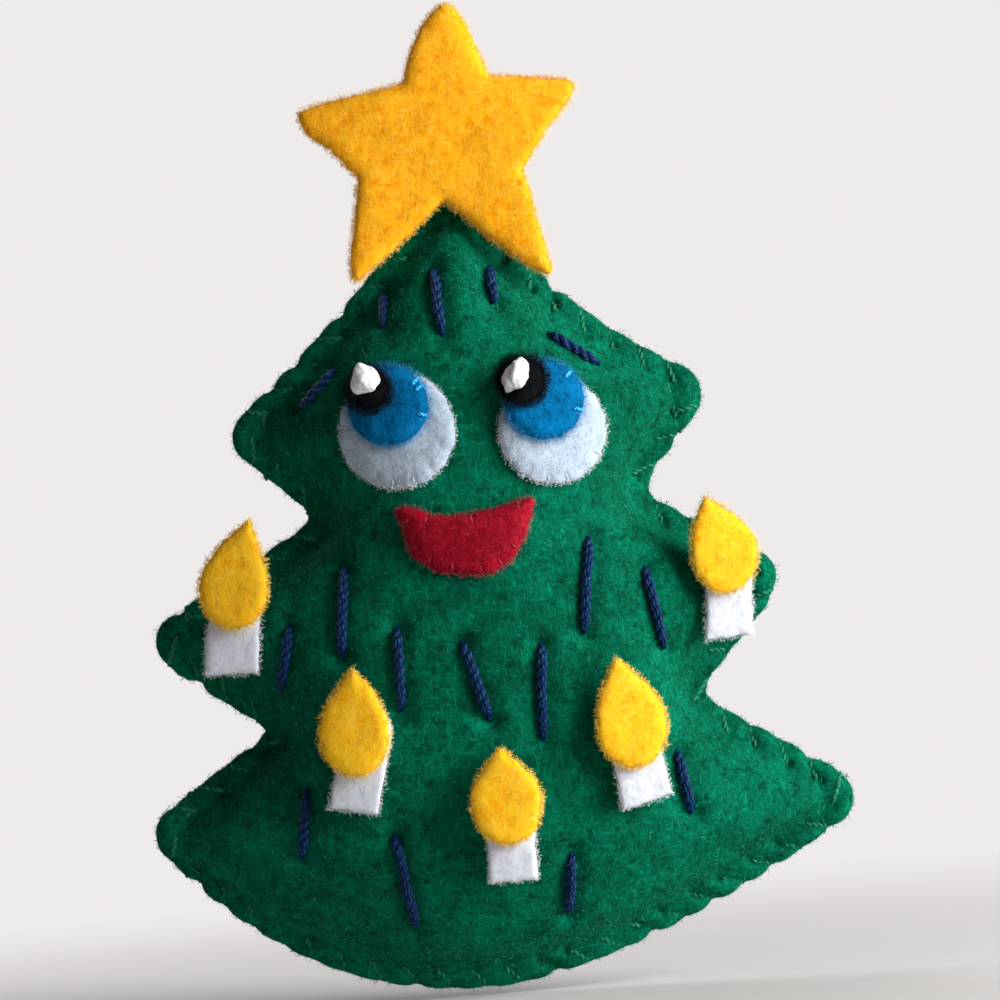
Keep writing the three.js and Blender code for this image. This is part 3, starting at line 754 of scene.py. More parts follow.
def strands(bench: Bench, name: str, lines: Array, width: float, finish: FibreFinish, slot: Slot) -> None:
    """Makes fibres along lines, each a closed three-sided strand that tapers to both ends.

    Args:
        bench: Where the piece is made.
        name: The piece's name.
        lines: The fibres' middle lines, with as many points in each.
        width: How wide a fibre is in the middle.
        finish: The fibres' shades.
        slot: The slot for the fibres.
    """
    count, steps = lines.shape[:2]
    leg = lines[:, -1] - lines[:, 0]
    side = np.cross(leg, SKEW)
    side /= np.maximum(np.linalg.norm(side, axis=1), 1e-9)[:, None]
    up = np.cross(leg / np.linalg.norm(leg, axis=1)[:, None], side)
    taper = np.sin(np.pi * np.linspace(0, 1, steps)[1:-1]) ** 0.5 * width / 2
    angles = 2 * np.pi * np.arange(3) / 3
    around = np.cos(angles)[:, None] * side[:, None, None] + np.sin(angles)[:, None] * up[:, None, None]
    rings = lines[:, 1:-1, None] + around * taper[None, :, None, None]
    points = np.concatenate([lines[:, :1], rings.reshape(count, -1, 3), lines[:, -1:]], axis=1)
    last = points.shape[1] - 1
    pattern = [[0, 1 + (k + 1) % 3, 1 + k] for k in range(3)]
    for first in range(1, last - 3, 3):
        for k in range(3):
            a, b = first + k, first + (k + 1) % 3
            pattern += [[a, b, b + 3], [a, b + 3, a + 3]]
    pattern += [[last, last - 3 + k, last - 3 + (k + 1) % 3] for k in range(3)]
    faces = (np.arange(count)[:, None, None] * points.shape[1] + np.array(pattern)).reshape(-1, 3)
    piece = bench.mesh_object(name, points.reshape(-1, 3), faces)
    shades = bench.rng.choice(len(finish.shades), count, p=finish.shares)
    piece.data.polygons.foreach_set("material_index", np.repeat(shades, len(pattern)).astype(np.int32))
    bench.hand_over(piece, slot, finish.materials())


# The fringe and curls take the green's edge shades, painted paler as painted light through the fibres.
BODY_NAPS = {
    "nap": (Nap(2.1, (0.4, 1.1), width=0.066, arch=0.04, stand=0.02, rings=2, rim=-1.0), GREEN.fibres),
    "fuzz": (Nap(5.6, (0.14, 0.4), width=0.038, arch=0.04, stand=0.6, rings=1, rim=3.0), GREEN.fibres),
    "fringe": (Nap(0.4, (0.3, 0.8), width=0.03, arch=0.04, stand=0.85, rings=2, rim=24.0), GREEN.down),
    "curls": (Nap(0.02, (1.2, 2.0), width=0.05, arch=0.06, stand=0.0, rings=5, rim=-1.0), GREEN.down),
}
CUT_NAP = Nap(density=8.0, length=(0.15, 0.5), width=0.038, arch=0.05, stand=0.5, rings=1)
BODY_FRAY = Fray(density=16, length=(0.25, 0.75))
CUT_FRAY = Fray(density=46, length=(0.16, 0.48), lift=(0.5, 1.0), width=0.034, turn=0.9)
FLAME_FRAY = Fray(density=70, length=(0.24, 0.62), lift=(0.4, 1.02), width=0.046, turn=0.9)
EYE_FRAY = Fray(density=50, length=(0.12, 0.36), lift=(0.65, 1.0), width=0.03, turn=0.9)
IRIS_FRAY = Fray(density=50, length=(0.3, 0.75), lift=(0.6, 1.25))
PUPIL_FRAY = Fray(density=70, length=(0.35, 0.9), lift=(0.8, 1.4), width=0.038)


def carried(path: Array) -> tuple[Array, Array]:
    """Two directions across a line at each of its points, carried along it without a twist."""
    legs = np.gradient(path, axis=0)
    legs /= np.linalg.norm(legs, axis=1)[:, None]
    across = np.empty_like(legs)
    normal = np.cross(legs[0], SKEW)
    for i, leg in enumerate(legs):
        normal = normal - leg * (normal @ leg)
        normal = normal / np.linalg.norm(normal)
        across[i] = normal
    return across, np.cross(legs, across)


def tube(path: Array, radius: Array | float, sides: int) -> tuple[Array, Array]:
    """A closed round tube along a line.

    Args:
        path: The line's points.
        radius: The tube's radius, or one for each point.
        sides: How many sides it has.

    Returns:
        Its vertices and its triangles.
    """
    across, up = carried(path)
    angles = 2 * np.pi * np.arange(sides) / sides
    ring = np.cos(angles)[:, None] * across[:, None] + np.sin(angles)[:, None] * up[:, None]
    wide = np.broadcast_to(radius, len(path))[:, None, None]
    points = np.vstack([(path[:, None] + ring * wide).reshape(-1, 3), path[:1], path[-1:]])
    first = np.arange(len(path) - 1)[:, None] * sides
    k, after = np.arange(sides), (np.arange(sides) + 1) % sides
    a, b = (first + k).ravel(), (first + after).ravel()
    start, end = len(points) - 2, len(points) - 1
    low = (len(path) - 1) * sides
    fans = [[start, after[i], i] for i in k] + [[end, low + i, low + after[i]] for i in k]
    walls = np.concatenate([np.stack([a, b, b + sides], 1), np.stack([a, b + sides, a + sides], 1)])
    return points, np.vstack([walls, fans])


def joined(parts: Sequence[tuple[Array, Array]]) -> tuple[Array, Array]:
    """Several meshes as one set of vertices and triangles."""
    offsets = np.cumsum([0] + [len(points) for points, _ in parts[:-1]])
    faces = [triangles + offset for (_, triangles), offset in zip(parts, offsets)]
    return np.vstack([points for points, _ in parts]), np.vstack(faces)


@dataclass(frozen=True)
class Yarn:
    """Plies of twisted strands, twisted round each other. Sizes are in millimetres."""

    plies: int
    strands: int
    strand_width: float
    turn: float
    strand_turn: float = 1.5
    sides: int = 6
    step: float = 0.25
    uneven: float = 0.0
    uneven_length: float = 1.7
    packed: float = 0.4
    ply_spread: float = 1.2
    end_width: float = 0.16

    def reach(self, count: int, width: float) -> float:
        """How far the middles of twisted parts lie from the middle of the whole."""
        return 0.0 if count == 1 else self.packed * width / math.sin(math.pi / count)

    @staticmethod
    def wind(line: Array, radius: Array, turns: Array) -> Array:
        """A line wound round another."""
        across, up = carried(line)
        angle = 2 * np.pi * turns
        return line + radius[:, None] * (across * np.cos(angle)[:, None] + up * np.sin(angle)[:, None])

    def spin(self, path: Array, ends: float = 0.0, seed: float = 0.0) -> tuple[Array, Array]:
        """The yarn along a line.

        Args:
            path: The line's points.
            ends: The distance over which it narrows towards both ends.
            seed: The start of its unevenness.

        Returns:
            Its vertices and triangles.
        """
        line = smooth_path(path, self.step)
        along = distances(line)
        rough = self.uneven * clouds(np.column_stack([along, along * 0, along * 0]), self.uneven_length, seed)
        narrow = np.ones(len(line))
        if ends:
            inward = eased(np.minimum(along, along[-1] - along) / ends)
            narrow = self.end_width + (1 - self.end_width) * inward
        narrow = narrow * (1 + rough)
        strand_reach = self.reach(self.strands, self.strand_width)
        ply_reach = self.reach(self.plies, self.strand_width + self.ply_spread * strand_reach)
        parts = []
        for ply in range(self.plies):
            turns = along / self.turn + ply / self.plies + rough
            ply_line = self.wind(line, ply_reach * narrow, turns)
            for strand in range(self.strands):
                turns = strand / self.strands - along / self.strand_turn
                middle = self.wind(ply_line, strand_reach * narrow, turns)
                parts.append(tube(middle, self.strand_width / 2 * (0.5 + 0.5 * narrow), self.sides))
        return joined(parts)


# The tree


@dataclass(frozen=True)
class TreeSide:
    """One side of the line where the tree's swell begins."""

    sign: int
    hollow: Point
    tips: tuple[Point, ...]
    notches: tuple[Point, ...]
    hem_power: float


@dataclass(frozen=True)
class TreeOutline:
    """The tree's outline and its whip-stitched edge, in millimetres, and the step round a tip in radians."""

    apex_z: float = 76.2
    apex_half_width: float = 1.0
    hem_x: float = -1.5
    notch_reach: float = 7.0
    flange: float = 2.8
    hole_inset: float = 1.75
    thread_out: float = 0.55
    pitch: float = 3.4
    point_step: float = 0.4
    tip_step: float = 0.12
    left: TreeSide = TreeSide(
        -1, (-9.7, 65.5), ((-20.6, 57), (-30.1, 36.8), (-31.6, 17.6)), ((-10.6, 47.7), (-16.7, 27.2)), 2.35
    )
    right: TreeSide = TreeSide(
        1, (8.5, 64.5), ((21, 57.8), (27.1, 38.5), (33, 16.2)), ((12.2, 47.7), (16.2, 26.9)), 1.55
    )

    def hem(self, side: TreeSide) -> Array:
        """The curve from a lowest tip to the hem, which is level there."""
        share = np.linspace(1, 0, 60)[1:]
        tip_x, tip_z = side.tips[-1]
        height = self.flange + (tip_z - self.flange) * share**side.hem_power
        return np.stack([self.hem_x + (tip_x - self.hem_x) * share, height], axis=1)

    def side_line(self, side: TreeSide) -> Array:
        """One side of the swell line, from the apex down to the hem."""
        line = [np.array([[side.sign * self.apex_half_width, self.apex_z]])]
        line.append(quadratic(line[0][0], side.hollow, side.tips[0], 40))
        for notch, above, below in zip(side.notches, side.tips, side.tips[1:]):
            enter, leave = towards(notch, above, self.notch_reach), towards(notch, below, self.notch_reach)
            line += [enter[None], quadratic(enter, notch, leave, 30), np.array([below])]
        return np.vstack([*line, self.hem(side)])

    def rays(self) -> tuple[Array, Array]:
        """Points round the swell line, and the way out of it at each, with several round a sharp tip."""
        loop = np.vstack([self.side_line(self.left), self.side_line(self.right)[-2::-1]])
        loop = even_loop(loop, self.point_step)
        ahead = np.roll(loop, -1, axis=0) - loop
        ahead /= np.linalg.norm(ahead, axis=1)[:, None]
        behind = np.roll(ahead, 1, axis=0)
        turn = np.arctan2(
            behind[:, 0] * ahead[:, 1] - behind[:, 1] * ahead[:, 0], (behind * ahead).sum(axis=1)
        )
        starts, ways = [], []
        for at, way, angle in zip(loop, behind, turn):
            steps = max(1, math.ceil(angle / self.tip_step))
            shares = (np.arange(steps) + 0.5) / steps
            heading = math.atan2(-way[0], way[1]) + angle * shares
            starts += [at] * steps
            ways += [(math.cos(h), math.sin(h)) for h in heading]
        return np.array(starts), np.array(ways)


@dataclass(frozen=True)
class Tip:
    """A tier's tip: its outermost point and the way out of it."""

    at: Array
    way: Array

    @property
    def side(self) -> Array:
        """The way across the tip."""
        return np.array([-self.way[1], self.way[0]])

    def measured(self, places: Array) -> tuple[Array, Array]:
        """How far places lie in from the tip, and how far to its side."""
        return (self.at - places) @ self.way, (places - self.at) @ self.side


class Seam:
    """The places of the whip stitches round the edge. Sizes are in millimetres."""

    tip_reach = 0.5

    def __init__(self, outline: TreeOutline) -> None:
        """Spaces the stitches on whichever is shorter, the hole line or the outside of the edge."""
        starts, ways = outline.rays()
        self.ways = ways
        self.edge = starts + ways * outline.flange
        self.hole = starts + ways * (outline.flange - outline.hole_inset)
        outside = starts + ways * (outline.flange + outline.thread_out)
        steps = [np.linalg.norm(np.roll(line, -1, axis=0) - line, axis=1) for line in (self.hole, outside)]
        self.along = np.concatenate([[0], np.cumsum(np.minimum(*steps))])
        self.count = round(self.along[-1] / outline.pitch)
        self.phase = self.along[:-1] / self.along[-1] * self.count - 0.5
        self.tips = []
        for tip in (*outline.left.tips, *outline.right.tips):
            near = np.linalg.norm(starts - tip, axis=1) < self.tip_reach
            way = ways[near].mean(axis=0)
            way /= np.linalg.norm(way)
            self.tips.append(Tip(np.array(tip) + way * outline.flange, way))

    def holes(self, stitch: Array | int) -> Array:
        """The places of holes, counted round the edge."""
        closed = np.vstack([self.hole, self.hole[:1]])
        place = (np.asarray(stitch, float) + 0.5) / self.count * self.along[-1]
        return np.stack([np.interp(place, self.along, column) for column in closed.T], axis=-1)


class TreePlan:
    """A panel's mesh in the seam plane, and what is known at each of its points."""

    # Shares of the mesh's spacing between the edge, the row inside it and the even rows
    inner_row, near_rows, far_rows = 0.8, 1.45, 0.4
    merge = 1e-5
    chunks = 80
    rounds = 600
    settled, solved = 1e-12, 1e-10

    def __init__(self, seam: Seam, fine: float, coarse: float, band: float) -> None:
        """Meshes the shape inside the sewn edge.

        Args:
            seam: The edge and its stitches.
            fine: About how far apart the mesh's points are near the edge.
            coarse: About how far apart they are elsewhere.
            band: How far the fine mesh reaches in from the edge.
        """
        edge = even_loop(np.column_stack([seam.edge, seam.phase, seam.ways]), fine)
        self.rim = len(edge)
        inner = edge[:, :2] - edge[:, 3:5] * fine * self.inner_row
        near = self.grid(edge[:, :2], fine, self.near_rows * fine, band)
        far = self.grid(edge[:, :2], coarse, band + self.far_rows * coarse, math.inf)
        coords = np.vstack([edge[:, :2], inner, near, far])
        loop = [(i, (i + 1) % self.rim) for i in range(self.rim)]
        made = delaunay_2d_cdt([Vector(p) for p in coords], loop, [], 1, self.merge)
        order = np.array([found[0] for found in made[3]])
        place = np.argsort(order)
        self.points = np.array([tuple(p) for p in made[0]])[place]
        rank = np.empty_like(place)
        rank[place] = np.arange(len(place))
        triangles = rank[np.array(made[2])]
        a, b, c = (self.points[triangles[:, k]] for k in range(3))
        area = (b - a)[:, 0] * (c - a)[:, 1] - (b - a)[:, 1] * (c - a)[:, 0]
        self.triangles = np.where(area[:, None] < 0, triangles[:, ::-1], triangles)
        pairs = np.vstack([self.triangles[:, [0, 1]], self.triangles[:, [1, 2]], self.triangles[:, [2, 0]]])
        self.edges = np.unique(np.sort(pairs, axis=1), axis=0)
        nearest, self.inside = self.nearest_edge(edge[:, :2])
        self.phase, self.way = edge[nearest, 2], edge[nearest, 3:5]

    def grid(self, edge: Array, spacing: float, least: float, most: float) -> Array:
        """Points in even rows inside the cut edge.

        Args:
            edge: The cut edge.
            spacing: How far apart the points are.
            least: The least distance from the edge.
            most: The most distance from the edge.

        Returns:
            The points.
        """
        low, high = edge.min(axis=0), edge.max(axis=0)
        rows = np.arange(low[1], high[1], spacing * math.sqrt(0.75))
        columns = np.arange(low[0], high[0], spacing)
        x, z = np.meshgrid(columns, rows)
        x = x + (np.arange(len(rows)) % 2)[:, None] * spacing / 2
        points = np.stack([x.ravel(), z.ravel()], axis=1)
        after = np.roll(edge, -1, axis=0)
        kept = []
        for chunk in np.array_split(points, self.chunks):
            px, pz = chunk[:, :1], chunk[:, 1:]
            spans = (edge[:, 1] > pz) != (after[:, 1] > pz)
            rise = np.where(after[:, 1] == edge[:, 1], 1.0, after[:, 1] - edge[:, 1])
            cross = edge[:, 0] + (after[:, 0] - edge[:, 0]) * (pz - edge[:, 1]) / rise
            inside = (spans & (px < cross)).sum(axis=1) % 2 == 1
            near = np.hypot(px - edge[:, 0], pz - edge[:, 1]).min(axis=1)
            kept.append(chunk[inside & (near > least) & (near <= most)])
        return np.vstack(kept)

    def nearest_edge(self, edge: Array) -> tuple[Array, Array]:
        """The nearest point of the cut edge to each point, and how far it is."""
        found, far = [], []
        for chunk in np.array_split(self.points, self.chunks):
            away = np.hypot(chunk[:, :1] - edge[:, 0], chunk[:, 1:] - edge[:, 1])
            found.append(away.argmin(axis=1))
            far.append(away.min(axis=1))
        return np.concatenate(found), np.concatenate(far)

    def membrane(self, held: Array) -> Array:
        """How a membrane blown up over the plan stands, from 0 where it is held to 1 at its highest.

        Args:
            held: True for each point that stays down.

        Returns:
            The height of each point.
        """
        count = len(self.points)
        ends, weights = [], []
        load = np.zeros(count)
        for k in range(3):
            i, j, m = (self.triangles[:, (k + s) % 3] for s in range(3))
            u, v = self.points[j] - self.points[i], self.points[m] - self.points[i]
            double = u[:, 0] * v[:, 1] - u[:, 1] * v[:, 0]
            ends.append(np.stack([j, m], axis=1))
            weights.append((u * v).sum(axis=1) / np.maximum(2 * double, 1e-9))
            load += np.bincount(i, double / 6, count)
        (i, j), weight = np.vstack(ends).T, np.concatenate(weights)

        def pull(height: Array) -> Array:
            """The pull on each free point from its neighbours."""
            flow = weight * (height[i] - height[j])
            return np.where(held, 0, np.bincount(i, flow, count) - np.bincount(j, flow, count))

        height = np.zeros(count)
        left = np.where(held, 0, load)
        way = left.copy()
        square = left @ left
        for _ in range(self.rounds):
            pulled = pull(way)
            step = square / (way @ pulled)
            height += step * way
            left -= step * pulled
            square, before = left @ left, square
            if square < self.settled * before and square < self.solved:
                break
            way = left + way * square / before
        return np.maximum(height, 0) / height.max()

    def blurred(self, values: Array, rounds: int, held: Array) -> Array:
        """Values evened out between neighbours, except where they are held."""
        count = len(values)
        i, j = self.edges.T
        links = np.bincount(i, minlength=count) + np.bincount(j, minlength=count)
        for _ in range(rounds):
            mean = (np.bincount(i, values[j], count) + np.bincount(j, values[i], count)) / links
            values = np.where(held, values, (values + mean) / 2)
        return values


class HeightMap:
    """Depths of the finished front, on an even grid. Sizes are in millimetres."""

    look_from = -100
    steepest = 1.5

    def __init__(self, points: Array, triangles: Array, off_body: float, step: float = 0.5) -> None:
        """Reads the depths off a mesh by looking at it from the front.

        Args:
            points: The mesh's vertices.
            triangles: Its triangles.
            off_body: The depth that is given past its edge.
            step: How far apart the grid's points are.
        """
        surface = BVHTree.FromPolygons(points.tolist(), triangles.tolist())
        self.step, self.low = step, points.min(axis=0)[[0, 2]] - step
        size = np.ceil((points.max(axis=0)[[0, 2]] + step - self.low) / step).astype(int) + 1
        self.depths = np.full(size, off_body)
        for i, k in np.ndindex(*size):
            x, z = self.low + np.array([i, k]) * step
            hit = surface.ray_cast(Vector((x, self.look_from, z)), Vector((0, 1, 0)))[0]
            if hit:
                self.depths[i, k] = -hit.y

    def depth(self, x: Array, z: Array) -> Array:
        """The front's depth at places on the outline."""
        most = np.array(self.depths.shape) - 1.001
        u = np.clip((np.asarray(x, float) - self.low[0]) / self.step, 0, most[0])
        v = np.clip((np.asarray(z, float) - self.low[1]) / self.step, 0, most[1])
        i, k = u.astype(int), v.astype(int)
        u, v = u - i, v - k
        near = self.depths[i, k] * (1 - v) + self.depths[i, k + 1] * v
        far = self.depths[i + 1, k] * (1 - v) + self.depths[i + 1, k + 1] * v
        return near * (1 - u) + far * u

    def above(self, gap: float) -> Depth:
        """The depths at a gap in front of the front."""
        return lambda x, z: self.depth(x, z) + gap

    def lean(self, x: Array, z: Array) -> Array:
        """How much longer a line square to the front is than its depth."""
        across = (self.depth(x + 1, z) - self.depth(x - 1, z)) / 2
        up = (self.depth(x, z + 1) - self.depth(x, z - 1)) / 2
        across, up = (np.clip(slope, -self.steepest, self.steepest) for slope in (across, up))
        return np.sqrt(1 + across**2 + up**2)


@dataclass
class TreeBody:
    """The stuffed body: two felt panels and the wad between them. Sizes are in millimetres."""

    bench: Bench
    outline: TreeOutline
    seam: Seam
    felt: float = 1.3
    seam_gap: float = 0.03
    front_crown: float = 11.5
    back_crown: float = 9.0
    back_flat: float = 7.4
    back_sharp: float = 1.5
    swell_power: float = 0.46
    swell_from: float = 0.35
    swell_blur: int = 24
    fine: float = 0.32
    coarse: float = 0.55
    fine_band: float = 4.4
    edge_thins: float = 0.55
    edge_thin_band: float = 1.3
    least_depth: float = 0.55
    edge_bulge: float = 0.2
    edge_open: float = 0.02
    inner_blur: int = 4
    edge_fibres: Span = (-0.8, 1.6)
    # Heights and widths of the stuffing's lumps, and how far in from the seam they are full
    lump_heights: tuple[float, float, float] = (0.34, 0.16, 0.05)
    lump_widths: tuple[float, float, float] = (13.0, 5.5, 1.8)
    lump_band: float = 9.0
    # What a stitch does to the felt: how hard it is drawn, its slant, furrow and hole, and the felt between
    grip_range: Span = (0.15, 1.5)
    slant: float = 0.5
    furrow: float = 0.24
    furrow_width: float = 0.6
    hole: float = 0.4
    hole_width: float = 0.8
    pillow: float = 0.06
    pillow_width: float = 1.0
    pillow_in: Span = (1.5, 1.7)
    notch: float = 0.34
    notch_width: float = 0.75
    notch_band: float = 2.4
    notch_power: float = 1.3
    edge_swell: float = 0.05
    # The knob that the thread ties off at each tip: its length, its crease and its own swell
    knob: float = 3.1
    knob_width: float = 3.4
    knob_reach: float = 8.0
    crease: float = 0.36
    crease_width: float = 0.55
    crease_drawn: float = 0.3
    knob_swell: float = 0.12
    knob_swell_in: Span = (1.3, 1.0)
    # How a floss stitch presses the felt in along it and at its ends
    floss_dent: float = 0.45
    floss_dent_width: float = 1.25
    floss_end: float = 1.0
    floss_end_width: float = 1.1
    fill: float = 0.75
    wad_voxel: float = 0.9
    wad_soft: int = 6
    wad_loose: Span = (0.5, 0.35)
    wad_lumps: float = 4.0
    plan: TreePlan = field(init=False)
    rise: Array = field(init=False)
    grip: Array = field(init=False)
    skins: dict[Facing, tuple[Array, Array]] = field(init=False)

    def __post_init__(self) -> None:
        """Meshes the plan, blows it up and draws each stitch by its own amount."""
        self.plan = TreePlan(self.seam, self.fine, self.coarse, self.fine_band)
        held = self.plan.inside < self.outline.flange - self.swell_from
        self.rise = self.plan.membrane(held) ** self.swell_power
        least, more = self.grip_range
        self.grip = least + more * self.bench.rng.random(self.seam.count + 4) ** 2
        self.skins = {}

    def lumps(self, seed: float) -> Array:
        """The soft unevenness of the stuffing at each point of the plan."""
        flat = np.column_stack([self.plan.points, np.zeros(len(self.plan.points))])
        return layered(flat, zip(self.lump_heights, self.lump_widths, (seed, seed + 9, seed)))

    def puckers(self, facing: Facing) -> tuple[Array, Array]:
        """What the stitches do to the felt near the edge.

        Args:
            facing: Which panel it is.

        Returns:
            How much each point of the plan is pressed in, and how far it is drawn in from the edge.
        """
        plan, outline = self.plan, self.outline
        slant = facing.value * self.slant * np.clip(1 - plan.inside / outline.hole_inset, 0, 1)
        turn = plan.phase - slant
        stitch = np.round(turn)
        off = (turn - stitch) * outline.pitch
        own = self.grip[(np.floor(plan.phase) + 2).astype(int)]
        wide = self.hole_width
        furrow = bell(off / self.furrow_width)
        furrow = furrow * np.clip((outline.hole_inset + wide - plan.inside) / wide, 0, 1)
        hole = np.exp(-((off / wide) ** 2) - ((plan.inside - outline.hole_inset) / wide) ** 2)
        middle, spread = self.pillow_in
        pillow = (1 - bell(off / self.pillow_width)) * bell((plan.inside - middle) / spread)
        pressed = own * (self.furrow * furrow + self.hole * hole) - self.pillow * pillow
        gap = (plan.phase - np.floor(plan.phase) - 0.5) * outline.pitch
        notch = bell(gap / self.notch_width)
        drawn = own * self.notch * notch - self.edge_swell * (1 - notch)
        middle, spread = self.knob_swell_in
        for tip in self.seam.tips:
            deep, aside = tip.measured(plan.points)
            near = bell(aside / self.knob_width) * (deep < self.knob_reach)
            crease = bell((deep - self.knob) / self.crease_width) * near
            swell = bell((deep - middle) / spread)
            pressed = pressed + self.crease * crease - self.knob_swell * swell * near
            drawn = drawn + self.crease_drawn * crease
        return pressed, drawn * np.clip(1 - plan.inside / self.notch_band, 0, 1) ** self.notch_power

    def surface(self, facing: Facing, stitches: Stitches) -> tuple[Array, Array]:
        """A panel's outer face.

        Args:
            facing: Which panel it is.
            stitches: The floss stitches that press into it, end to end.

        Returns:
            The places on the outline and the distances from the seam.
        """
        plan = self.plan
        if facing is Facing.FRONT:
            swell = self.front_crown * self.rise
        else:
            full = self.back_crown * self.rise
            sharp = -self.back_sharp
            swell = np.log(np.exp(sharp * full) + math.exp(sharp * self.back_flat)) / sharp
        edge = np.arange(len(plan.points)) < plan.rim
        swell = plan.blurred(np.maximum(swell, 0), self.swell_blur, edge)
        inner = eased((plan.inside - self.outline.flange) / self.lump_band)
        pressed, drawn = self.puckers(facing)
        thinner = self.edge_thins * np.clip(1 - plan.inside / self.edge_thin_band, 0, 1) ** 2
        depth = self.seam_gap + self.felt + swell + self.lumps(3.0 * facing.value) * inner
        depth = np.maximum(depth - pressed - thinner, self.least_depth) - self.stitch_dents(stitches)
        return plan.points - plan.way * drawn[:, None], depth

    def stitch_dents(self, stitches: Stitches) -> Array:
        """How far the floss stitches press the felt in, most of all at their ends."""
        dent = np.zeros(len(self.plan.points))
        for start, end in stitches:
            p, q = np.array(start), np.array(end)
            way = q - p
            share = np.clip((self.plan.points - p) @ way / (way @ way), 0, 1)
            off = np.linalg.norm(self.plan.points - p - share[:, None] * way, axis=1)
            dent = np.maximum(dent, self.floss_dent * bell(off / self.floss_dent_width))
            for tip in (p, q):
                away = np.linalg.norm(self.plan.points - tip, axis=1)
                dent = np.maximum(dent, self.floss_end * bell(away / self.floss_end_width))
        return dent

    def panel(self, facing: Facing, stitches: Stitches) -> tuple[Array, Array, int]:
        """A whole panel: its outer face, its cut edge and its inner face.

        Args:
            facing: Which panel it is.
            stitches: The floss stitches that press into it.

        Returns:
            Its vertices, its triangles and how many of them are the outer face and the cut edge.
        """
        plan = self.plan
        places, depth = self.surface(facing, stitches)
        self.skins[facing] = places, depth
        count, rim = len(places), np.arange(plan.rim)
        edge = np.arange(count) < plan.rim
        even = plan.blurred(depth, self.inner_blur, edge)
        inner = np.maximum(np.minimum(depth, even) - self.felt, self.seam_gap)
        under = np.where(edge, self.seam_gap + self.edge_open, inner)
        sheet = [in_space(*places.T, facing.value * depth), in_space(*places.T, facing.value * under)]
        bulge = places[rim] + plan.way[rim] * self.edge_bulge
        middle, half = (depth[rim] + under[rim]) / 2, (depth[rim] - under[rim]) / 4
        rings = [in_space(*bulge.T, facing.value * (middle + lift * half)) for lift in (1, -1)]
        points = np.vstack([sheet[0], *rings, sheet[1]])
        levels = [rim, count + rim, count + plan.rim + rim, count + 2 * plan.rim + rim]
        walls = []
        for near, far in zip(levels, levels[1:]):
            near_after, far_after = np.roll(near, -1), np.roll(far, -1)
            walls += [np.stack([near, far, far_after], 1), np.stack([near, far_after, near_after], 1)]
        below = plan.triangles[:, ::-1] + count + 2 * plan.rim
        shown = len(plan.triangles) + sum(len(wall) for wall in walls)
        triangles = np.vstack([plan.triangles, *walls, below])
        return points, triangles[:, :: facing.value], shown

    def skin_depth(self, facing: Facing, place: Array) -> float:
        """How far a panel's outer face is from the seam at a place."""
        places, depth = self.skins[facing]
        return float(depth[np.linalg.norm(places - place, axis=1).argmin()])

    def edge_at(self, phase: float, out: float) -> Array:
        """A point just outside the sewn edge, at a place counted in stitches."""
        places = self.skins[Facing.FRONT][0]
        nearest = np.abs(self.plan.phase[: self.plan.rim] - phase).argmin()
        return places[nearest] + self.plan.way[nearest] * out

    def build(self, stitches: Stitches) -> HeightMap:
        """Builds and dresses both panels and their fibres.

        Args:
            stitches: The floss stitches on the front.

        Returns:
            The front's depths, for what lies on it.
        """
        heights = None
        for facing, name in ((Facing.FRONT, "front_panel"), (Facing.BACK, "back_panel")):
            front = facing is Facing.FRONT
            points, triangles, shown = self.panel(facing, stitches if front else ())
            if front:
                heights = HeightMap(points, triangles, self.seam_gap + self.felt)
            piece = self.bench.mesh_object(f"{name}_felt", points, triangles)
            self.bench.hand_over(piece, GREEN.slot, [GREEN.face.material()], [name])
            for kind, (nap, finish) in BODY_NAPS.items():
                nap.grow(self.bench, f"{name}_{kind}", points, triangles[:shown], finish, GREEN.slot)
        rim = self.plan.rim
        edge = self.skins[Facing.FRONT][0][:rim], -self.plan.way[:rim]
        low, thick = self.edge_fibres
        layer = (lambda x, z: np.full(np.shape(x), low)), (lambda x, z: np.full(np.shape(x), thick))
        BODY_FRAY.grow(self.bench, "panel_edge_fray", edge, layer, GREEN)
        return heights

    def stuff(self, node: Piece) -> None:
        """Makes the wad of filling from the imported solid, loosened into soft lumps.

        Args:
            node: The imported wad.
        """
        wad = bpy.data.objects.new("stuffing_wad", node.data.copy())
        bpy.context.scene.collection.objects.link(wad)
        wad.data.materials.clear()
        wad.data.transform(self.bench.datum.place().inverted())
        apply_modifier(wad, "WELD", merge_threshold=0.001)
        apply_modifier(wad, "REMESH", mode="VOXEL", voxel_size=self.wad_voxel)
        apply_modifier(wad, "SMOOTH", factor=0.5, iterations=self.wad_soft)
        points = points_of(wad)
        least, more = self.wad_loose
        loose = least + more * clouds(points, self.wad_lumps, 5.0)
        set_points(wad, points - normals_of(wad) * loose[:, None])
        shade_smooth(wad)
        self.bench.hand_over(wad, Slot.FIBRE_FILLING, [FILLING.material()], ["stuffing"])


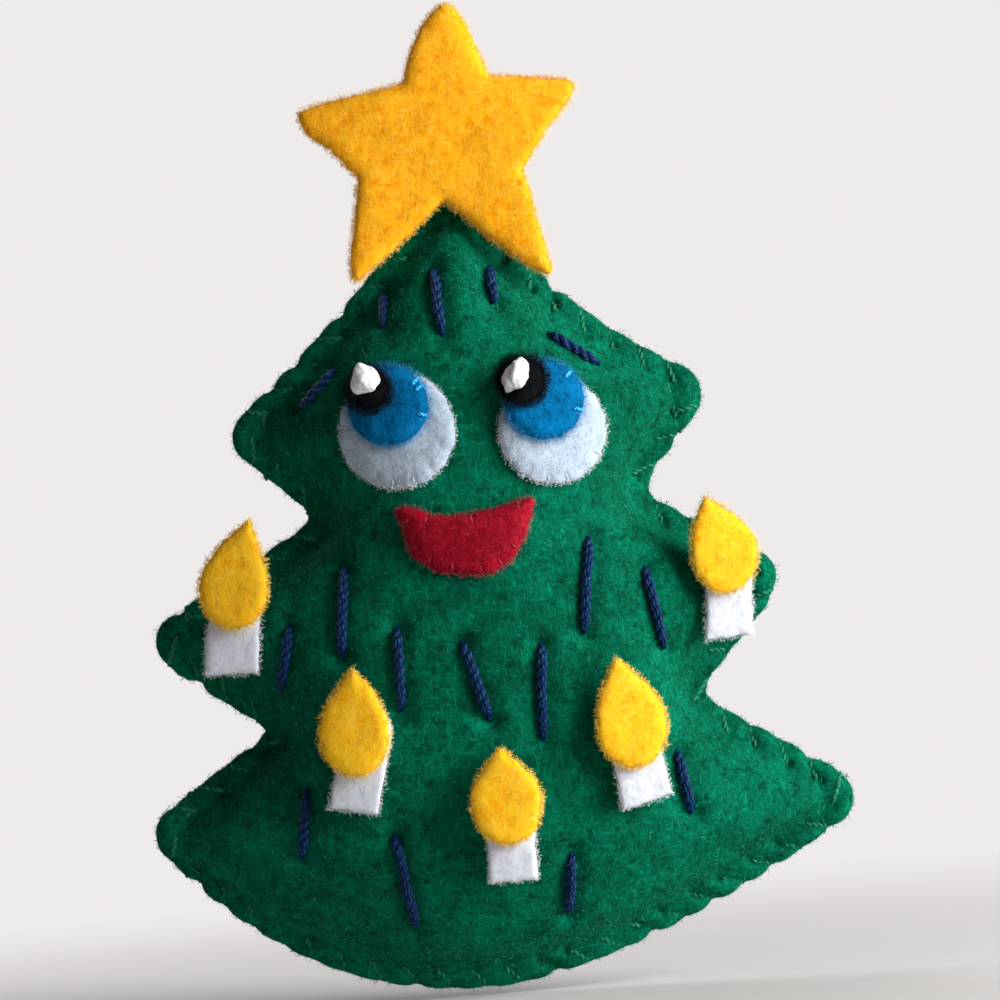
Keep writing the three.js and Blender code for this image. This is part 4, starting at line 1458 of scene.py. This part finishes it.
@dataclass
class WhipStitch:
    """The green thread over and over the edge, drawn tight. Sizes are in millimetres."""

    bench: Bench
    body: TreeBody
    proud: float = -0.22
    loose: float = 0.2
    loose_reach: float = 5.0
    out: float = 0.08
    lies_at: tuple[float, ...] = (0.05, 0.45, 0.8)
    wrap_sunk: float = 0.3
    wrap_near: float = 0.35
    wrap_reach: float = 6.0
    wrap_points: int = 7
    yarn: Yarn = Yarn(plies=2, strands=1, strand_width=0.34, turn=1.4, sides=7, step=0.26, uneven=0.12)

    def route(self) -> Array:
        """The thread's line: up through a hole, over the edge, round behind and up through the next."""
        seam, line = self.body.seam, []
        for stitch in range(seam.count - 1):
            hole, after = seam.holes(stitch), seam.holes(stitch + 1)
            over = self.body.edge_at(stitch + 0.5, self.out)
            line.append(in_space(*hole, 0.0))
            line += [self.laid(Facing.FRONT, hole, over, share) for share in self.lies_at]
            line.append(in_space(*over, 0.0))
            line += [self.laid(Facing.BACK, after, over, share) for share in self.lies_at[::-1]]
        line.append(in_space(*seam.holes(seam.count - 1), 0.0))
        return np.array(line)

    def laid(self, facing: Facing, start: Array, end: Array, share: float) -> Array:
        """A point of the thread where it lies on a panel, looser near a tip, part of the way to the edge."""
        place = start + (end - start) * share
        tip = min(np.linalg.norm(tip.at - place) for tip in self.body.seam.tips)
        proud = self.proud + self.loose * math.exp(-((tip / self.loose_reach) ** 2))
        return in_space(*place, facing.value * (self.body.skin_depth(facing, place) + proud))

    def wrap(self, tip: Tip) -> Array:
        """The thread's line once round a tier's tip, where it ties off a knob of felt."""
        places = self.body.skins[Facing.FRONT][0][: self.body.plan.rim]
        deep, aside = tip.measured(places)
        neck = tip.at - tip.way * self.body.knob
        beside = aside[(np.abs(deep - self.body.knob) < self.wrap_near) & (np.abs(aside) < self.wrap_reach)]
        line, over = [], np.linspace(beside.min(), beside.max(), self.wrap_points)
        for facing, sides in ((Facing.FRONT, over), (Facing.BACK, over[::-1])):
            for side in sides[1:-1]:
                place = neck + tip.side * side
                depth = self.body.skin_depth(facing, place) - self.wrap_sunk
                line.append(in_space(*place, facing.value * depth))
            place = neck + tip.side * (sides[-1] + np.sign(sides[-1]) * self.out)
            line.append(in_space(*place, 0.0))
        return np.array([*line, line[0], line[1]])

    def build(self) -> None:
        """Builds and dresses the thread."""
        lines = [self.route(), *(self.wrap(tip) for tip in self.body.seam.tips)]
        parts = [self.yarn.spin(line) for line in lines]
        piece = self.bench.mesh_object("edge_thread_stitches", *joined(parts))
        self.bench.hand_over(piece, Slot.GREEN_THREAD, [GREEN_THREAD.material()], ["edge_thread"])


@dataclass
class FlossStitches:
    """Straight stitches of six-strand floss on the front. Sizes are in millimetres."""

    ends: tuple[tuple[Point, Point], ...] = (
        ((-2, 72.2), (-1.6, 65.5)),
        ((3.7, 72), (3.8, 68.3)),
        ((-7.1, 70.3), (-7.5, 66.8)),
        ((9, 64.9), (13.8, 61.4)),
        ((-16.5, 59.4), (-12.6, 63)),
        ((-13.2, 43.2), (-14.2, 34.4)),
        ((-19.1, 37.8), (-20.7, 31.3)),
        ((-8.4, 36.8), (-8.7, 28.6)),
        ((-2.1, 34.9), (0, 26.9)),
        ((5.7, 34), (5.1, 24.6)),
        ((11.3, 44.2), (10, 34.7)),
        ((16.7, 40.7), (17.9, 32.5)),
        ((18.4, 22.2), (19.3, 16)),
        ((-18.8, 21.4), (-19.8, 14.6)),
        ((-10.4, 16.2), (-9, 6.8)),
        ((7.1, 13), (6.2, 7)),
    )
    sunk: float = 1.0
    bow: float = 0.16
    proud: float = 0.52
    start_proud: float = -0.1
    steep: float = 7.0
    narrows: float = 2.9
    yarn: Yarn = Yarn(
        plies=2, strands=4, strand_width=0.35, turn=2.1, strand_turn=1.8, sides=6, step=0.2, uneven=0.14
    )

    def path(self, start: Point, end: Point, heights: HeightMap, seed: float) -> Array:
        """A stitch's line: out of the felt, along it and back in."""
        share = np.linspace(0, 1, 11)
        x, z = (start[k] + (end[k] - start[k]) * share for k in range(2))
        bow = self.bow * clouds(np.column_stack([share * 3, share * 0, share * 0]), 1.0, seed)
        x = x + bow * np.sin(np.pi * share)
        rise = eased(np.minimum(share, 1 - share) * self.steep)
        proud = (self.proud - self.start_proud) * rise + self.start_proud
        top = in_space(x, z, heights.depth(x, z) + proud)
        low = [in_space(*p, heights.depth(*np.array(p)) - self.sunk) for p in (start, end)]
        return np.vstack([low[0], top, low[1]])

    def build(self, bench: Bench, heights: HeightMap) -> None:
        """Builds and dresses each stitch."""
        for index, (start, end) in enumerate(self.ends):
            line = self.path(start, end, heights, 3.7 * index)
            points, triangles = self.yarn.spin(line, ends=self.narrows, seed=2.3 * index)
            piece = bench.mesh_object(f"floss_stitch_{index + 1:02d}", points, triangles)
            bench.hand_over(piece, Slot.NAVY_FLOSS, [NAVY_FLOSS.material()], [f"needle_{index + 1:02d}"])


# Felt cut-outs

# How far in from the felt's edge a small stitch's points lie, and how far each is under its middle
STITCH_INSETS = (1.0, 0.95, 0.65, 0.4, 0.22, 0.2)
STITCH_SINKS = (0.34, 0.04, 0.0, 0.14, 0.0, 0.0)


@dataclass
class FeltCut:
    """A felt cut-out with soft edges. Sizes are in millimetres."""

    node: str
    outline: Array
    thickness: float
    felt: Felt
    sewn: tuple[float, ...] = ()
    voxel: float = 0.2
    soft: int = 18
    wobble: float = 0.14
    dome: float = 0.15
    drawn: float = 0.14
    thins: float = 0.12
    lumpy: float = 1.0
    fray: Fray = CUT_FRAY
    step: float = 0.3
    cut_in: float = 0.06
    drawn_width: float = 0.6
    stitch_length: float = 1.1
    stitch_width: float = 0.34
    dome_reach: float = 3.6
    thin_reach: float = 1.1

    @property
    def name(self) -> str:
        """The piece's name."""
        return f"{self.node}_felt"

    def edge(self) -> tuple[Array, Array, Array]:
        """The cut edge, the way in at each of its points, and how far round each is, from 0 to 1."""
        loop = even_loop(np.asarray(self.outline, float), self.step)
        ahead = np.roll(loop, -1, axis=0) - np.roll(loop, 1, axis=0)
        ahead /= np.linalg.norm(ahead, axis=1)[:, None]
        after = np.roll(loop, -1, axis=0)
        turned = np.sign((loop[:, 0] * after[:, 1] - loop[:, 1] * after[:, 0]).sum())
        way_in = turned * np.stack([-ahead[:, 1], ahead[:, 0]], axis=1)
        return loop, way_in, np.arange(len(loop)) / len(loop)

    def blank(self, bench: Bench) -> Piece:
        """Cuts the shape out of a flat sheet, uneven at its edge, drawn in by its stitches and softened."""
        loop, way_in, share = self.edge()
        seed = bench.rng.uniform(0, 50)
        flat = np.column_stack([loop, np.zeros(len(loop))])
        shift = self.wobble * layered(flat, ((1.0, 1.4, seed), (0.6, 0.7, seed + 7))) + self.cut_in
        for place in self.sewn:
            away = np.abs((share - place + 0.5) % 1 - 0.5) * len(loop) * self.step
            shift = shift + self.drawn * bell(away / self.drawn_width)
        loop = loop + way_in * shift[:, None]
        bpy.ops.object.select_all(action="DESELECT")
        bpy.ops.mesh.primitive_circle_add(vertices=len(loop), fill_type="NGON")
        piece = bpy.context.object
        piece.name = piece.data.name = self.name
        set_points(piece, in_space(*loop.T, 0.0))
        bpy.ops.object.mode_set(mode="EDIT")
        bpy.ops.mesh.select_all(action="SELECT")
        bpy.ops.mesh.extrude_region_move(TRANSFORM_OT_translate={"value": (0, -self.thickness, 0)})
        bpy.ops.mesh.select_all(action="SELECT")
        bpy.ops.mesh.normals_make_consistent(inside=False)
        bpy.ops.object.mode_set(mode="OBJECT")
        apply_modifier(piece, "REMESH", mode="VOXEL", voxel_size=self.voxel)
        apply_modifier(piece, "SMOOTH", factor=0.5, iterations=self.soft)
        return piece

    def puffed(self, x: Array, z: Array) -> Array:
        """How full the felt is at places: thinner at its edge and a little domed towards its middle."""
        loop, _, _ = self.edge()
        # A soft distance from the edge, in which its nearest points weigh most
        squares = (((loop - place) ** 2).sum(axis=1) + 0.02 for place in np.stack([x, z], axis=1))
        inside = np.array([(square**-3).mean() for square in squares]) ** (-1 / 6)
        dome = self.dome * np.sin(np.pi / 2 * np.clip(inside / self.dome_reach, 0, 1))
        return 1 + dome - self.thins * bell(inside / self.thin_reach)

    def dents(self, x: Array, z: Array) -> Array:
        """How much of the felt's thickness the stitches press away at places."""
        loop, way_in, _ = self.edge()
        places, dent = np.stack([x, z], axis=1), np.zeros(len(x))
        for place in self.sewn:
            index = round(place * len(loop)) % len(loop)
            away = places - loop[index]
            share = np.clip(away @ way_in[index] / self.stitch_length, 0, 1)
            off = np.linalg.norm(away - share[:, None] * self.stitch_length * way_in[index], axis=1)
            press = self.drawn * (1.3 - 0.5 * share) * bell(off / self.stitch_width)
            dent = np.maximum(dent, press)
        return dent

    def build(self, bench: Bench, under: Depth, stretch: Depth | None = None) -> Piece:
        """Cuts the felt, lays it down, roughens it and grows its fibres.

        Args:
            bench: Where the piece is made.
            under: The depth of what the felt lies on.
            stretch: How much longer the felt's thickness is than its depth, if what it lies on leans.

        Returns:
            The piece.
        """
        piece = self.blank(bench)
        x, y, z = points_of(piece).T
        lean = np.ones_like(x) if stretch is None else stretch(x, z)
        depth = under(x, z) - y * self.puffed(x, z) * (1 - self.dents(x, z)) * lean
        set_points(piece, in_space(x, z, depth))
        points, seed = points_of(piece), bench.rng.uniform(0, 50)
        rough = self.lumpy * layered(points, ((0.03, 0.75, seed), (0.08, 2.4, seed + 20)))
        set_points(piece, points + normals_of(piece) * rough[:, None])
        shade_smooth(piece)
        points, triangles = points_of(piece), triangles_of(piece)
        bench.hand_over(piece, self.felt.slot, [self.felt.face.material()], [self.node])
        CUT_NAP.grow(bench, f"{self.name}_nap", points, triangles, self.felt.fibres, self.felt.slot)

        def thick(x: Array, z: Array) -> Array:
            """The felt's thickness at places."""
            return self.thickness * self.puffed(x, z) * (1 if stretch is None else stretch(x, z))

        self.fray.grow(bench, f"{self.name}_fray", self.edge()[:2], (under, thick), self.felt)
        return piece

    def sew(
        self, bench: Bench, thread: ThreadFinish, under: Depth, stretch: Depth, width: float, proud: float
    ) -> None:
        """Sews the edge down with small stitches, each from inside the edge over it and under.

        Args:
            bench: Where the piece is made.
            thread: The thread's finish.
            under: The depth of what the felt lies on.
            stretch: How much longer the felt's thickness is than its depth.
            width: The thread's width.
            proud: How far the middle of the tightest stitch stands out of the felt.
        """
        loop, way_in, _ = self.edge()
        yarn = Yarn(plies=2, strands=1, strand_width=width / 2, turn=0.9, sides=6, step=0.12)
        parts = []
        for place in self.sewn:
            index = round(place * len(loop)) % len(loop)
            spots = loop[index] + np.outer(STITCH_INSETS, way_in[index])
            low = under(*spots.T)
            top = low + self.thickness * self.puffed(*spots.T) * stretch(*spots.T)
            loose = 0.14 * (0.5 + 0.5 * math.sin(57 * place)) ** 3
            depth = top + proud + loose - STITCH_SINKS
            depth[4:] = (top[4] + low[4]) / 2, low[5]
            parts.append(yarn.spin(in_space(*spots.T, depth)))
        piece = bench.mesh_object(f"{self.name}_stitches", *joined(parts))
        bench.hand_over(piece, self.felt.slot, [thread.material()])


@dataclass(frozen=True)
class Star:
    """The star in front of the tree's top. Sizes are in millimetres."""

    # Blunt tips with their sides, each followed by its notch, from the top tip round to the left
    edge: tuple[Point, ...] = (
        (4, 94.3), (3.1, 96.8), (2.4, 98.1), (1.9, 98.6),
        (1, 98.7), (-0.2, 97.9), (-1.5, 96.2), (-2.6, 94), (-3.5, 91.1),
        (-11.3, 89.8), (-13.5, 89.4), (-14.3, 88.9), (-14.2, 88.1),
        (-13.6, 86.8), (-11.6, 85.2), (-8.8, 81.9),
        (-9.8, 76.3), (-10.3, 73.4), (-10.2, 71.9), (-9.5, 71.6), (-8, 72.8), (-4.1, 75.8), (-0.4, 79),
        (3.9, 74.9), (6, 73), (7.7, 71.7), (9.4, 70.7), (9.9, 71), (9.5, 73.2), (7.8, 81.6),
        (10.3, 85), (12.3, 87.3), (13.3, 88.4), (13.6, 89.6), (13, 90.2), (5.2, 91.2),
    )
    thickness: float = 1.5
    middle: Point = (0.2, 85.0)
    reach: float = 14.0
    curl: float = 0.8
    curl_from: float = 78.0
    curl_over: float = 8.0

    def outline(self) -> Array:
        """The star's edge."""
        return np.array(self.edge)

    def build(self, bench: Bench, plane: Depth) -> None:
        """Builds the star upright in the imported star's place, its tips curled back a little."""
        cut = FeltCut("star", self.outline(), self.thickness, ORANGE, soft=8, fray=FLAME_FRAY)

        def under(x: Array, z: Array) -> Array:
            """The depth of the star's back at places."""
            away = np.hypot(x - self.middle[0], z - self.middle[1]) / self.reach
            return plane(x, z) - self.curl * away**2 * np.clip((z - self.curl_from) / self.curl_over, 0, 1)

        cut.build(bench, under)
        self.outline()


def plane_of(node: Piece, datum: Datum, thickness: float) -> Depth:
    """The plane that a packed plate's back lies in.

    Args:
        node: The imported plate.
        datum: Where the outline frame lies.
        thickness: The plate's thickness.

    Returns:
        The depth of its back at places on the outline.
    """
    points = np.array([v.co for v in node.data.vertices]) - np.array([0, datum.seam_y, datum.hem_z])
    x, y, z = points.T / MM
    level, across, up = np.linalg.lstsq(np.column_stack([np.ones_like(x), x, z]), -y, rcond=None)[0]
    return lambda px, pz: level + across * px + up * pz - thickness / 2


@dataclass(frozen=True)
class Candle:
    """A white candle with a flame in front of its head. Sizes are in millimetres."""

    place: str
    foot: tuple[Point, ...]
    belly: Point
    tip: Point
    peek: float
    thickness: float = 1.3
    gap: float = 0.12
    flame_width: float = 7.0
    flame_drop: float = 4.2
    shoulder: float = 0.45
    head_less: float = 0.45
    head_drop: float = 2.4
    head_cut: float = 0.3

    def flame(self, shift: float = 0.0, less: float = 0.0, drop: float = 0.0) -> Array:
        """A flame's edge, from its lowest point round to the right: round below and pointed above.

        Args:
            shift: How far it is moved to the right.
            less: How much smaller it is all round.
            drop: How much lower its tip is.

        Returns:
            The edge's points.
        """
        x, z = self.belly[0] + shift, self.belly[1]
        tip = (self.tip[0] + shift, self.tip[1] - drop)
        reach, turn = self.flame_width / 2 - less, z + (tip[1] - z) * self.shoulder
        angle = np.linspace(-np.pi / 2, 0, 16)
        right = np.stack([x + reach * np.cos(angle), z + (self.flame_drop - less) * np.sin(angle)], axis=1)
        left = right[:0:-1] * (-1, 1) + (2 * x, 0)
        up = quadratic(right[-1], (x + reach, turn), tip, 14)
        down = quadratic(tip, (x - reach, turn), (x - reach, z), 14)
        return np.vstack([right, up, down, left[1:]])

    def body(self) -> Array:
        """The candle's edge: the stub, and the head behind the flame."""
        head = self.flame(self.peek, self.head_less, self.head_drop)
        low = head[0, 1] + self.flame_drop * self.head_cut
        return np.vstack([np.array(self.foot), head[head[:, 1] > low]])

    def build(self, bench: Bench, plane: Depth) -> None:
        """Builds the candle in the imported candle's plane, and its flame on it."""
        front = self.thickness + self.gap
        candle = FeltCut(
            f"candle_{self.place}", self.body(), self.thickness, WHITE, soft=15, dome=0.05, thins=0.0
        )
        candle.build(bench, plane)
        flame = FeltCut(
            f"flame_{self.place}", self.flame(), self.thickness, YELLOW,
            soft=11, dome=0.1, wobble=0.18, fray=FLAME_FRAY,
        )
        flame.build(bench, lambda x, z: plane(x, z) + front)


CANDLES = (
    Candle("far_left", ((-27.6, 38), (-28.1, 33.5), (-22.6, 33.3)), (-24.5, 42.1), (-22.3, 48.7), 0.2),
    Candle("left", ((-16.7, 19.5), (-11.8, 18.4)), (-13.5, 26.7), (-13.1, 33.1), 0.7),
    Candle("centre", ((-1.4, 10.8), (3.5, 10.8)), (1, 18.8), (0.8, 24.2), 0.25),
    Candle("right", ((12.3, 16.9), (17.5, 18.1)), (14, 25.3), (12.9, 32.1), 0.2),
    Candle("far_right", ((22.1, 32.9), (27, 33.1)), (24.7, 41.7), (23.2, 47.3), 0.3, flame_width=6.7),
)


@dataclass(frozen=True)
class Disc:
    """A round of felt."""

    at: Point
    radius: float

    def outline(self) -> Array:
        """The round's edge."""
        angle = np.linspace(0, 2 * np.pi, 64, endpoint=False)
        return np.array(self.at) + self.radius * np.stack([np.cos(angle), np.sin(angle)], axis=1)

    def cover(self, x: Array, z: Array, soft: float = 1.6) -> Array:
        """1 over the round and 0 past it, with a soft step at its edge."""
        away = np.hypot(x - self.at[0], z - self.at[1])
        return eased((self.radius + 0.45 * soft - away) / soft)


@dataclass(frozen=True)
class Knot:
    """A white knot of wound thread on a pupil, pulled into flat sides. Sizes are in millimetres."""

    at: Point
    width: float
    height: float
    lean: float
    depth: float = 2.0
    sides: int = 12
    facets: Span = (0.8, 1.05)
    crisp: int = 10

    def build(self, bench: Bench, side: str, base: float) -> None:
        """Shapes the knot out of a ball, flattens its sides and makes it lumpy.

        Args:
            bench: Where the piece is made.
            side: Which eye it is on.
            base: The depth of the pupil under it.
        """
        bpy.ops.object.select_all(action="DESELECT")
        bpy.ops.mesh.primitive_ico_sphere_add(subdivisions=6, radius=1.0)
        piece = bpy.context.object
        piece.name = piece.data.name = f"glint_{side}_knot"
        ball = points_of(piece)
        turn = np.arange(self.sides) + 0.5
        tall, around = 1 - 2 * turn / self.sides, turn * np.pi * (3 - math.sqrt(5)) + self.lean
        wide = np.sqrt(1 - tall**2)
        ways = np.stack([wide * np.cos(around), wide * np.sin(around), tall], axis=1)
        near = np.maximum(ball @ ways.T, 0) / bench.rng.uniform(*self.facets, self.sides)
        ball = ball / (near**self.crisp).sum(axis=1)[:, None] ** (1 / self.crisp)
        low, high = ball.min(axis=0), ball.max(axis=0)
        ball = (ball - (low + high) / 2) / (high - low) * np.array([self.width, self.depth, self.height])
        set_points(piece, ball)
        rough = layered(ball, ((0.15, 1.0, self.lean), (0.06, 0.45, 3.0), (0.016, 0.18, 8.0)))
        points = ball + normals_of(piece) * rough[:, None]
        set_points(piece, self.turned(points, base))
        shade_smooth(piece)
        bench.hand_over(piece, Slot.WHITE_THREAD, [WHITE_THREAD.material()], [f"glint_{side}"])

    def turned(self, points: Array, base: float) -> Array:
        """The knot's points, leant over and set on its pupil."""
        tilt = math.radians(self.lean)
        x = points[:, 0] * math.cos(tilt) - points[:, 2] * math.sin(tilt)
        z = points[:, 0] * math.sin(tilt) + points[:, 2] * math.cos(tilt)
        return in_space(self.at[0] + x, self.at[1] + z, base + self.depth / 2 - points[:, 1])


@dataclass(frozen=True)
class Eye:
    """An eye: three felt rounds and a knot. Sizes are in millimetres."""

    side: str
    white: Disc
    iris: Disc
    pupil: Disc
    knot: Knot
    white_stitches: tuple[float, ...]
    iris_stitches: tuple[float, ...]
    felt: float = 1.0
    gap: float = 0.08
    pupil_share: float = 0.8
    knot_sunk: float = 0.3

    def build(self, bench: Bench, heights: HeightMap) -> None:
        """Builds the rounds on each other, each drooping past the edge of the one below."""
        layer, on_body = self.felt + self.gap, heights.above(self.gap)

        def on_white(x: Array, z: Array) -> Array:
            """The depth that felt on the white lies at."""
            return on_body(x, z) + layer * heights.lean(x, z) * self.white.cover(x, z)

        def on_iris(x: Array, z: Array) -> Array:
            """The depth that felt on the iris lies at."""
            return on_white(x, z) + layer * heights.lean(x, z) * self.iris.cover(x, z)

        # The whites are white felt in painted shade.
        white = FeltCut(
            f"eye_white_{self.side}", self.white.outline(), self.felt, EYE_WHITE_IN_PAINTED_SHADE,
            tuple(a / 360 % 1 for a in self.white_stitches),
            drawn=0.13, thins=0.3, lumpy=1.7, fray=EYE_FRAY,
        )
        white.build(bench, on_body, heights.lean)
        self.white.outline()
        white.sew(bench, EYE_THREAD_IN_PAINTED_SHADE, on_body, heights.lean, width=0.36, proud=-0.25)
        iris = FeltCut(
            f"iris_{self.side}", self.iris.outline(), self.felt, BLUE,
            tuple(a / 360 % 1 for a in self.iris_stitches), thins=0.5, fray=IRIS_FRAY,
        )
        iris.build(bench, on_white, heights.lean)
        iris.sew(bench, BLUE_THREAD_WITH_PAINTED_GLINT, on_white, heights.lean, width=0.5, proud=0.0)
        pupil = FeltCut(
            f"pupil_{self.side}", self.pupil.outline(), self.felt * self.pupil_share, BLACK,
            wobble=0.3, thins=0.5, fray=PUPIL_FRAY,
        )
        pupil.build(bench, on_iris, heights.lean)
        x, z = (np.array([c]) for c in self.knot.at)
        base = on_iris(x, z) + layer * self.pupil_share * heights.lean(x, z) * self.pupil.cover(x, z)
        self.knot.build(bench, self.side, float(base[0]) - self.knot_sunk)


# The iris stitches sit only on the right, lit side, where their bright cyan thread paints glints.
EYES = (
    Eye(
        "left", Disc((-6.9, 56.3), 5.9), Disc((-7.5, 58.9), 4.15), Disc((-9.4, 60.6), 2.25),
        Knot((-9.5, 61.6), 2.9, 3.2, -8),
        (170, 196, 219, 240, 262, 284, 309, 333, 358, 380), (38, 24, -20),
    ),
    Eye(
        "right", Disc((8.6, 55.1), 5.5), Disc((8.0, 58.2), 4.1), Disc((6.05, 60.3), 2.45),
        Knot((5.3, 60.8), 2.5, 4.0, -22),
        (160, 187, 214, 236, 259, 281, 304, 330, 357, 384, 410), (41, -22),
    ),
)


@dataclass(frozen=True)
class Mouth:
    """The red felt smile. Sizes are in millimetres."""

    points: tuple[Point, ...] = (
        (-7.7, 48.4), (-7, 46), (-6.5, 44), (-4.6, 42.3), (-2.2, 41.6), (0.9, 41.3), (3.2, 42.3),
        (4.9, 44.5), (5.7, 46.6), (6.1, 48.6), (4.2, 48.4), (1.6, 47.8),
        (-1.6, 47.5), (-4, 47.7), (-5.8, 48.6),
    )
    stitches: tuple[float, ...] = (0.04, 0.11, 0.18, 0.255, 0.33, 0.4, 0.465, 0.53, 0.66, 0.79, 0.9)
    felt: float = 1.0
    gap: float = 0.08

    def build(self, bench: Bench, heights: HeightMap) -> None:
        """Builds the smile on the front and sews it down."""
        cut = FeltCut(
            "mouth", smooth_loop(np.array(self.points), 8), self.felt, RED, self.stitches,
            dome=0.25, drawn=0.12, thins=0.3,
        )
        on_body = heights.above(self.gap)
        cut.build(bench, on_body, heights.lean)
        cut.sew(bench, RED_THREAD, on_body, heights.lean, width=0.36, proud=-0.19)


# Studio


@dataclass(frozen=True)
class Lamp:
    """A soft square lamp. Angles are in degrees, and the rest in metres and watts."""

    name: str
    azimuth: float
    elevation: float
    distance: float
    size: float
    power: float
    colour: str = "#ffffff"


@dataclass(frozen=True)
class Studio:
    """The camera, the lamps and a plain pale floor under the ornament. Sizes are in metres."""

    aim: tuple[float, float, float] = (0.0028, -0.015, 0.0216)
    roll: float = 4.7
    frame_width: float = 0.1
    lens: float = 250.0
    sensor: float = 36.0
    floor_size: float = 8.0
    fades: Span = (0.04, 0.2)
    pale: str = "#eeebea"
    paper: str = "#dad7d6"
    room: str = "#fff4ee"
    ambient: float = 0.05
    lamps: tuple[Lamp, ...] = (
        Lamp("key_lamp", 67, 13, 0.65, 0.55, 11.6),
        Lamp("back_lamp", 205, 28, 1.0, 0.6, 4.5),
    )

    def camera(self) -> None:
        """Sets the camera square to the front, turned as far as the ornament leans in its picture."""
        data = bpy.data.cameras.new("camera")
        data.lens, data.sensor_width = self.lens, self.sensor
        camera = bpy.data.objects.new("camera", data)
        bpy.context.scene.collection.objects.link(camera)
        distance = self.frame_width * self.lens / self.sensor
        turn = math.radians(self.roll)
        right = Vector((math.cos(turn), 0, -math.sin(turn)))
        up = Vector((math.sin(turn), 0, math.cos(turn)))
        back = Vector((0, -1, 0))
        matrix = Matrix((right, up, back)).transposed().to_4x4()
        matrix.translation = Vector(self.aim) + back * distance
        camera.matrix_world = matrix
        data.clip_start = 0.01
        bpy.context.scene.camera = camera

    def light(self) -> None:
        """Hangs the lamps and sets the even light from all round."""
        for lamp in self.lamps:
            data = bpy.data.lights.new(lamp.name, "AREA")
            data.energy, data.size = lamp.power, lamp.size
            data.color = linear(lamp.colour)[:3]
            made = bpy.data.objects.new(lamp.name, data)
            bpy.context.scene.collection.objects.link(made)
            a, e = math.radians(lamp.azimuth), math.radians(lamp.elevation)
            back = Vector((math.sin(a) * math.cos(e), -math.cos(a) * math.cos(e), math.sin(e)))
            made.location = Vector(self.aim) + back * lamp.distance
            made.rotation_euler = back.to_track_quat("Z", "Y").to_euler()
        world = bpy.data.worlds.new("soft_room")
        bpy.context.scene.world = world
        world.use_nodes = True
        tree = world.node_tree
        room = tree.nodes["Background"]
        room.inputs["Color"].default_value = linear(self.room)
        room.inputs["Strength"].default_value = self.ambient
        seen = tree.nodes.new("ShaderNodeBackground")
        seen.inputs["Color"].default_value = linear(self.pale)
        choose = tree.nodes.new("ShaderNodeMixShader")
        tree.links.new(self.seen_rays(tree), choose.inputs[0])
        tree.links.new(room.outputs[0], choose.inputs[1])
        tree.links.new(seen.outputs[0], choose.inputs[2])
        tree.links.new(choose.outputs[0], tree.nodes["World Output"].inputs["Surface"])

    @staticmethod
    def seen_rays(tree: bpy.types.NodeTree) -> Socket:
        """1 for what the camera sees, straight or in something shiny or clear."""
        rays = tree.nodes.new("ShaderNodeLightPath")
        socket = rays.outputs["Is Camera Ray"]
        for name in ("Is Glossy Ray", "Is Transmission Ray"):
            either = tree.nodes.new("ShaderNodeMath")
            either.operation = "MAXIMUM"
            tree.links.new(socket, either.inputs[0])
            tree.links.new(rays.outputs[name], either.inputs[1])
            socket = either.outputs[0]
        return socket

    def floor(self, floor_z: float) -> None:
        """Lays the floor, which keeps the shadow near the ornament and fades into the pale room.

        Args:
            floor_z: The height of the floor.
        """
        bpy.ops.object.select_all(action="DESELECT")
        bpy.ops.mesh.primitive_plane_add(size=self.floor_size, location=(0, 0, floor_z))
        bpy.ops.object.transform_apply(location=True, rotation=False, scale=False)
        sheet = bpy.context.object
        sheet.name = sheet.data.name = "studio_floor"
        surface = Surface("pale_paper", roughness=0.9, sheen=0.0, tint=self.paper, specular=0.1)
        surface.shader.inputs["Base Color"].default_value = linear(self.paper)
        where = surface.add("ShaderNodeTexCoord", {}).outputs["Object"]
        away = surface.add("ShaderNodeVectorMath", {0: where}, operation="LENGTH").outputs["Value"]
        far = surface.spread(away, *self.fades, (0.0, 1.0))
        share = surface.work("MULTIPLY", far, self.seen_rays(surface.tree))
        plain = surface.add("ShaderNodeEmission", {"Color": linear(self.pale)}).outputs[0]
        mixed = surface.add("ShaderNodeMixShader", {0: share, 1: surface.shader.outputs[0], 2: plain})
        surface.tree.links.new(mixed.outputs[0], surface.tree.nodes["Material Output"].inputs["Surface"])
        sheet.data.materials.append(surface.material)
        sheet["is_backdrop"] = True


def main() -> None:
    """Loads the frame, builds each sub-assembly and notes the sizes."""
    logging.basicConfig(level=logging.INFO, format="%(message)s")
    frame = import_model()
    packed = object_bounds()
    bpy.context.scene.view_settings.view_transform = "Standard"
    studio = Studio()
    studio.camera()
    bench = Bench(Datum.from_frame(), np.random.default_rng(7))
    outline = TreeOutline()
    seam = Seam(outline)
    floss = FlossStitches()
    body = TreeBody(bench, outline, seam)
    heights = body.build(floss.ends)
    body.stuff(frame["nodes"]["stuffing"])
    WhipStitch(bench, body).build()
    floss.build(bench, heights)
    star = Star()
    star.build(bench, plane_of(frame["nodes"]["star"], bench.datum, star.thickness))
    for eye in EYES:
        eye.build(bench, heights)
    Mouth().build(bench, heights)
    for candle in CANDLES:
        node = frame["nodes"][f"candle_{candle.place}"]
        candle.build(bench, plane_of(node, bench.datum, candle.thickness))
    studio.light()
    studio.floor(packed[0].z)


if __name__ == "__main__":
    main()
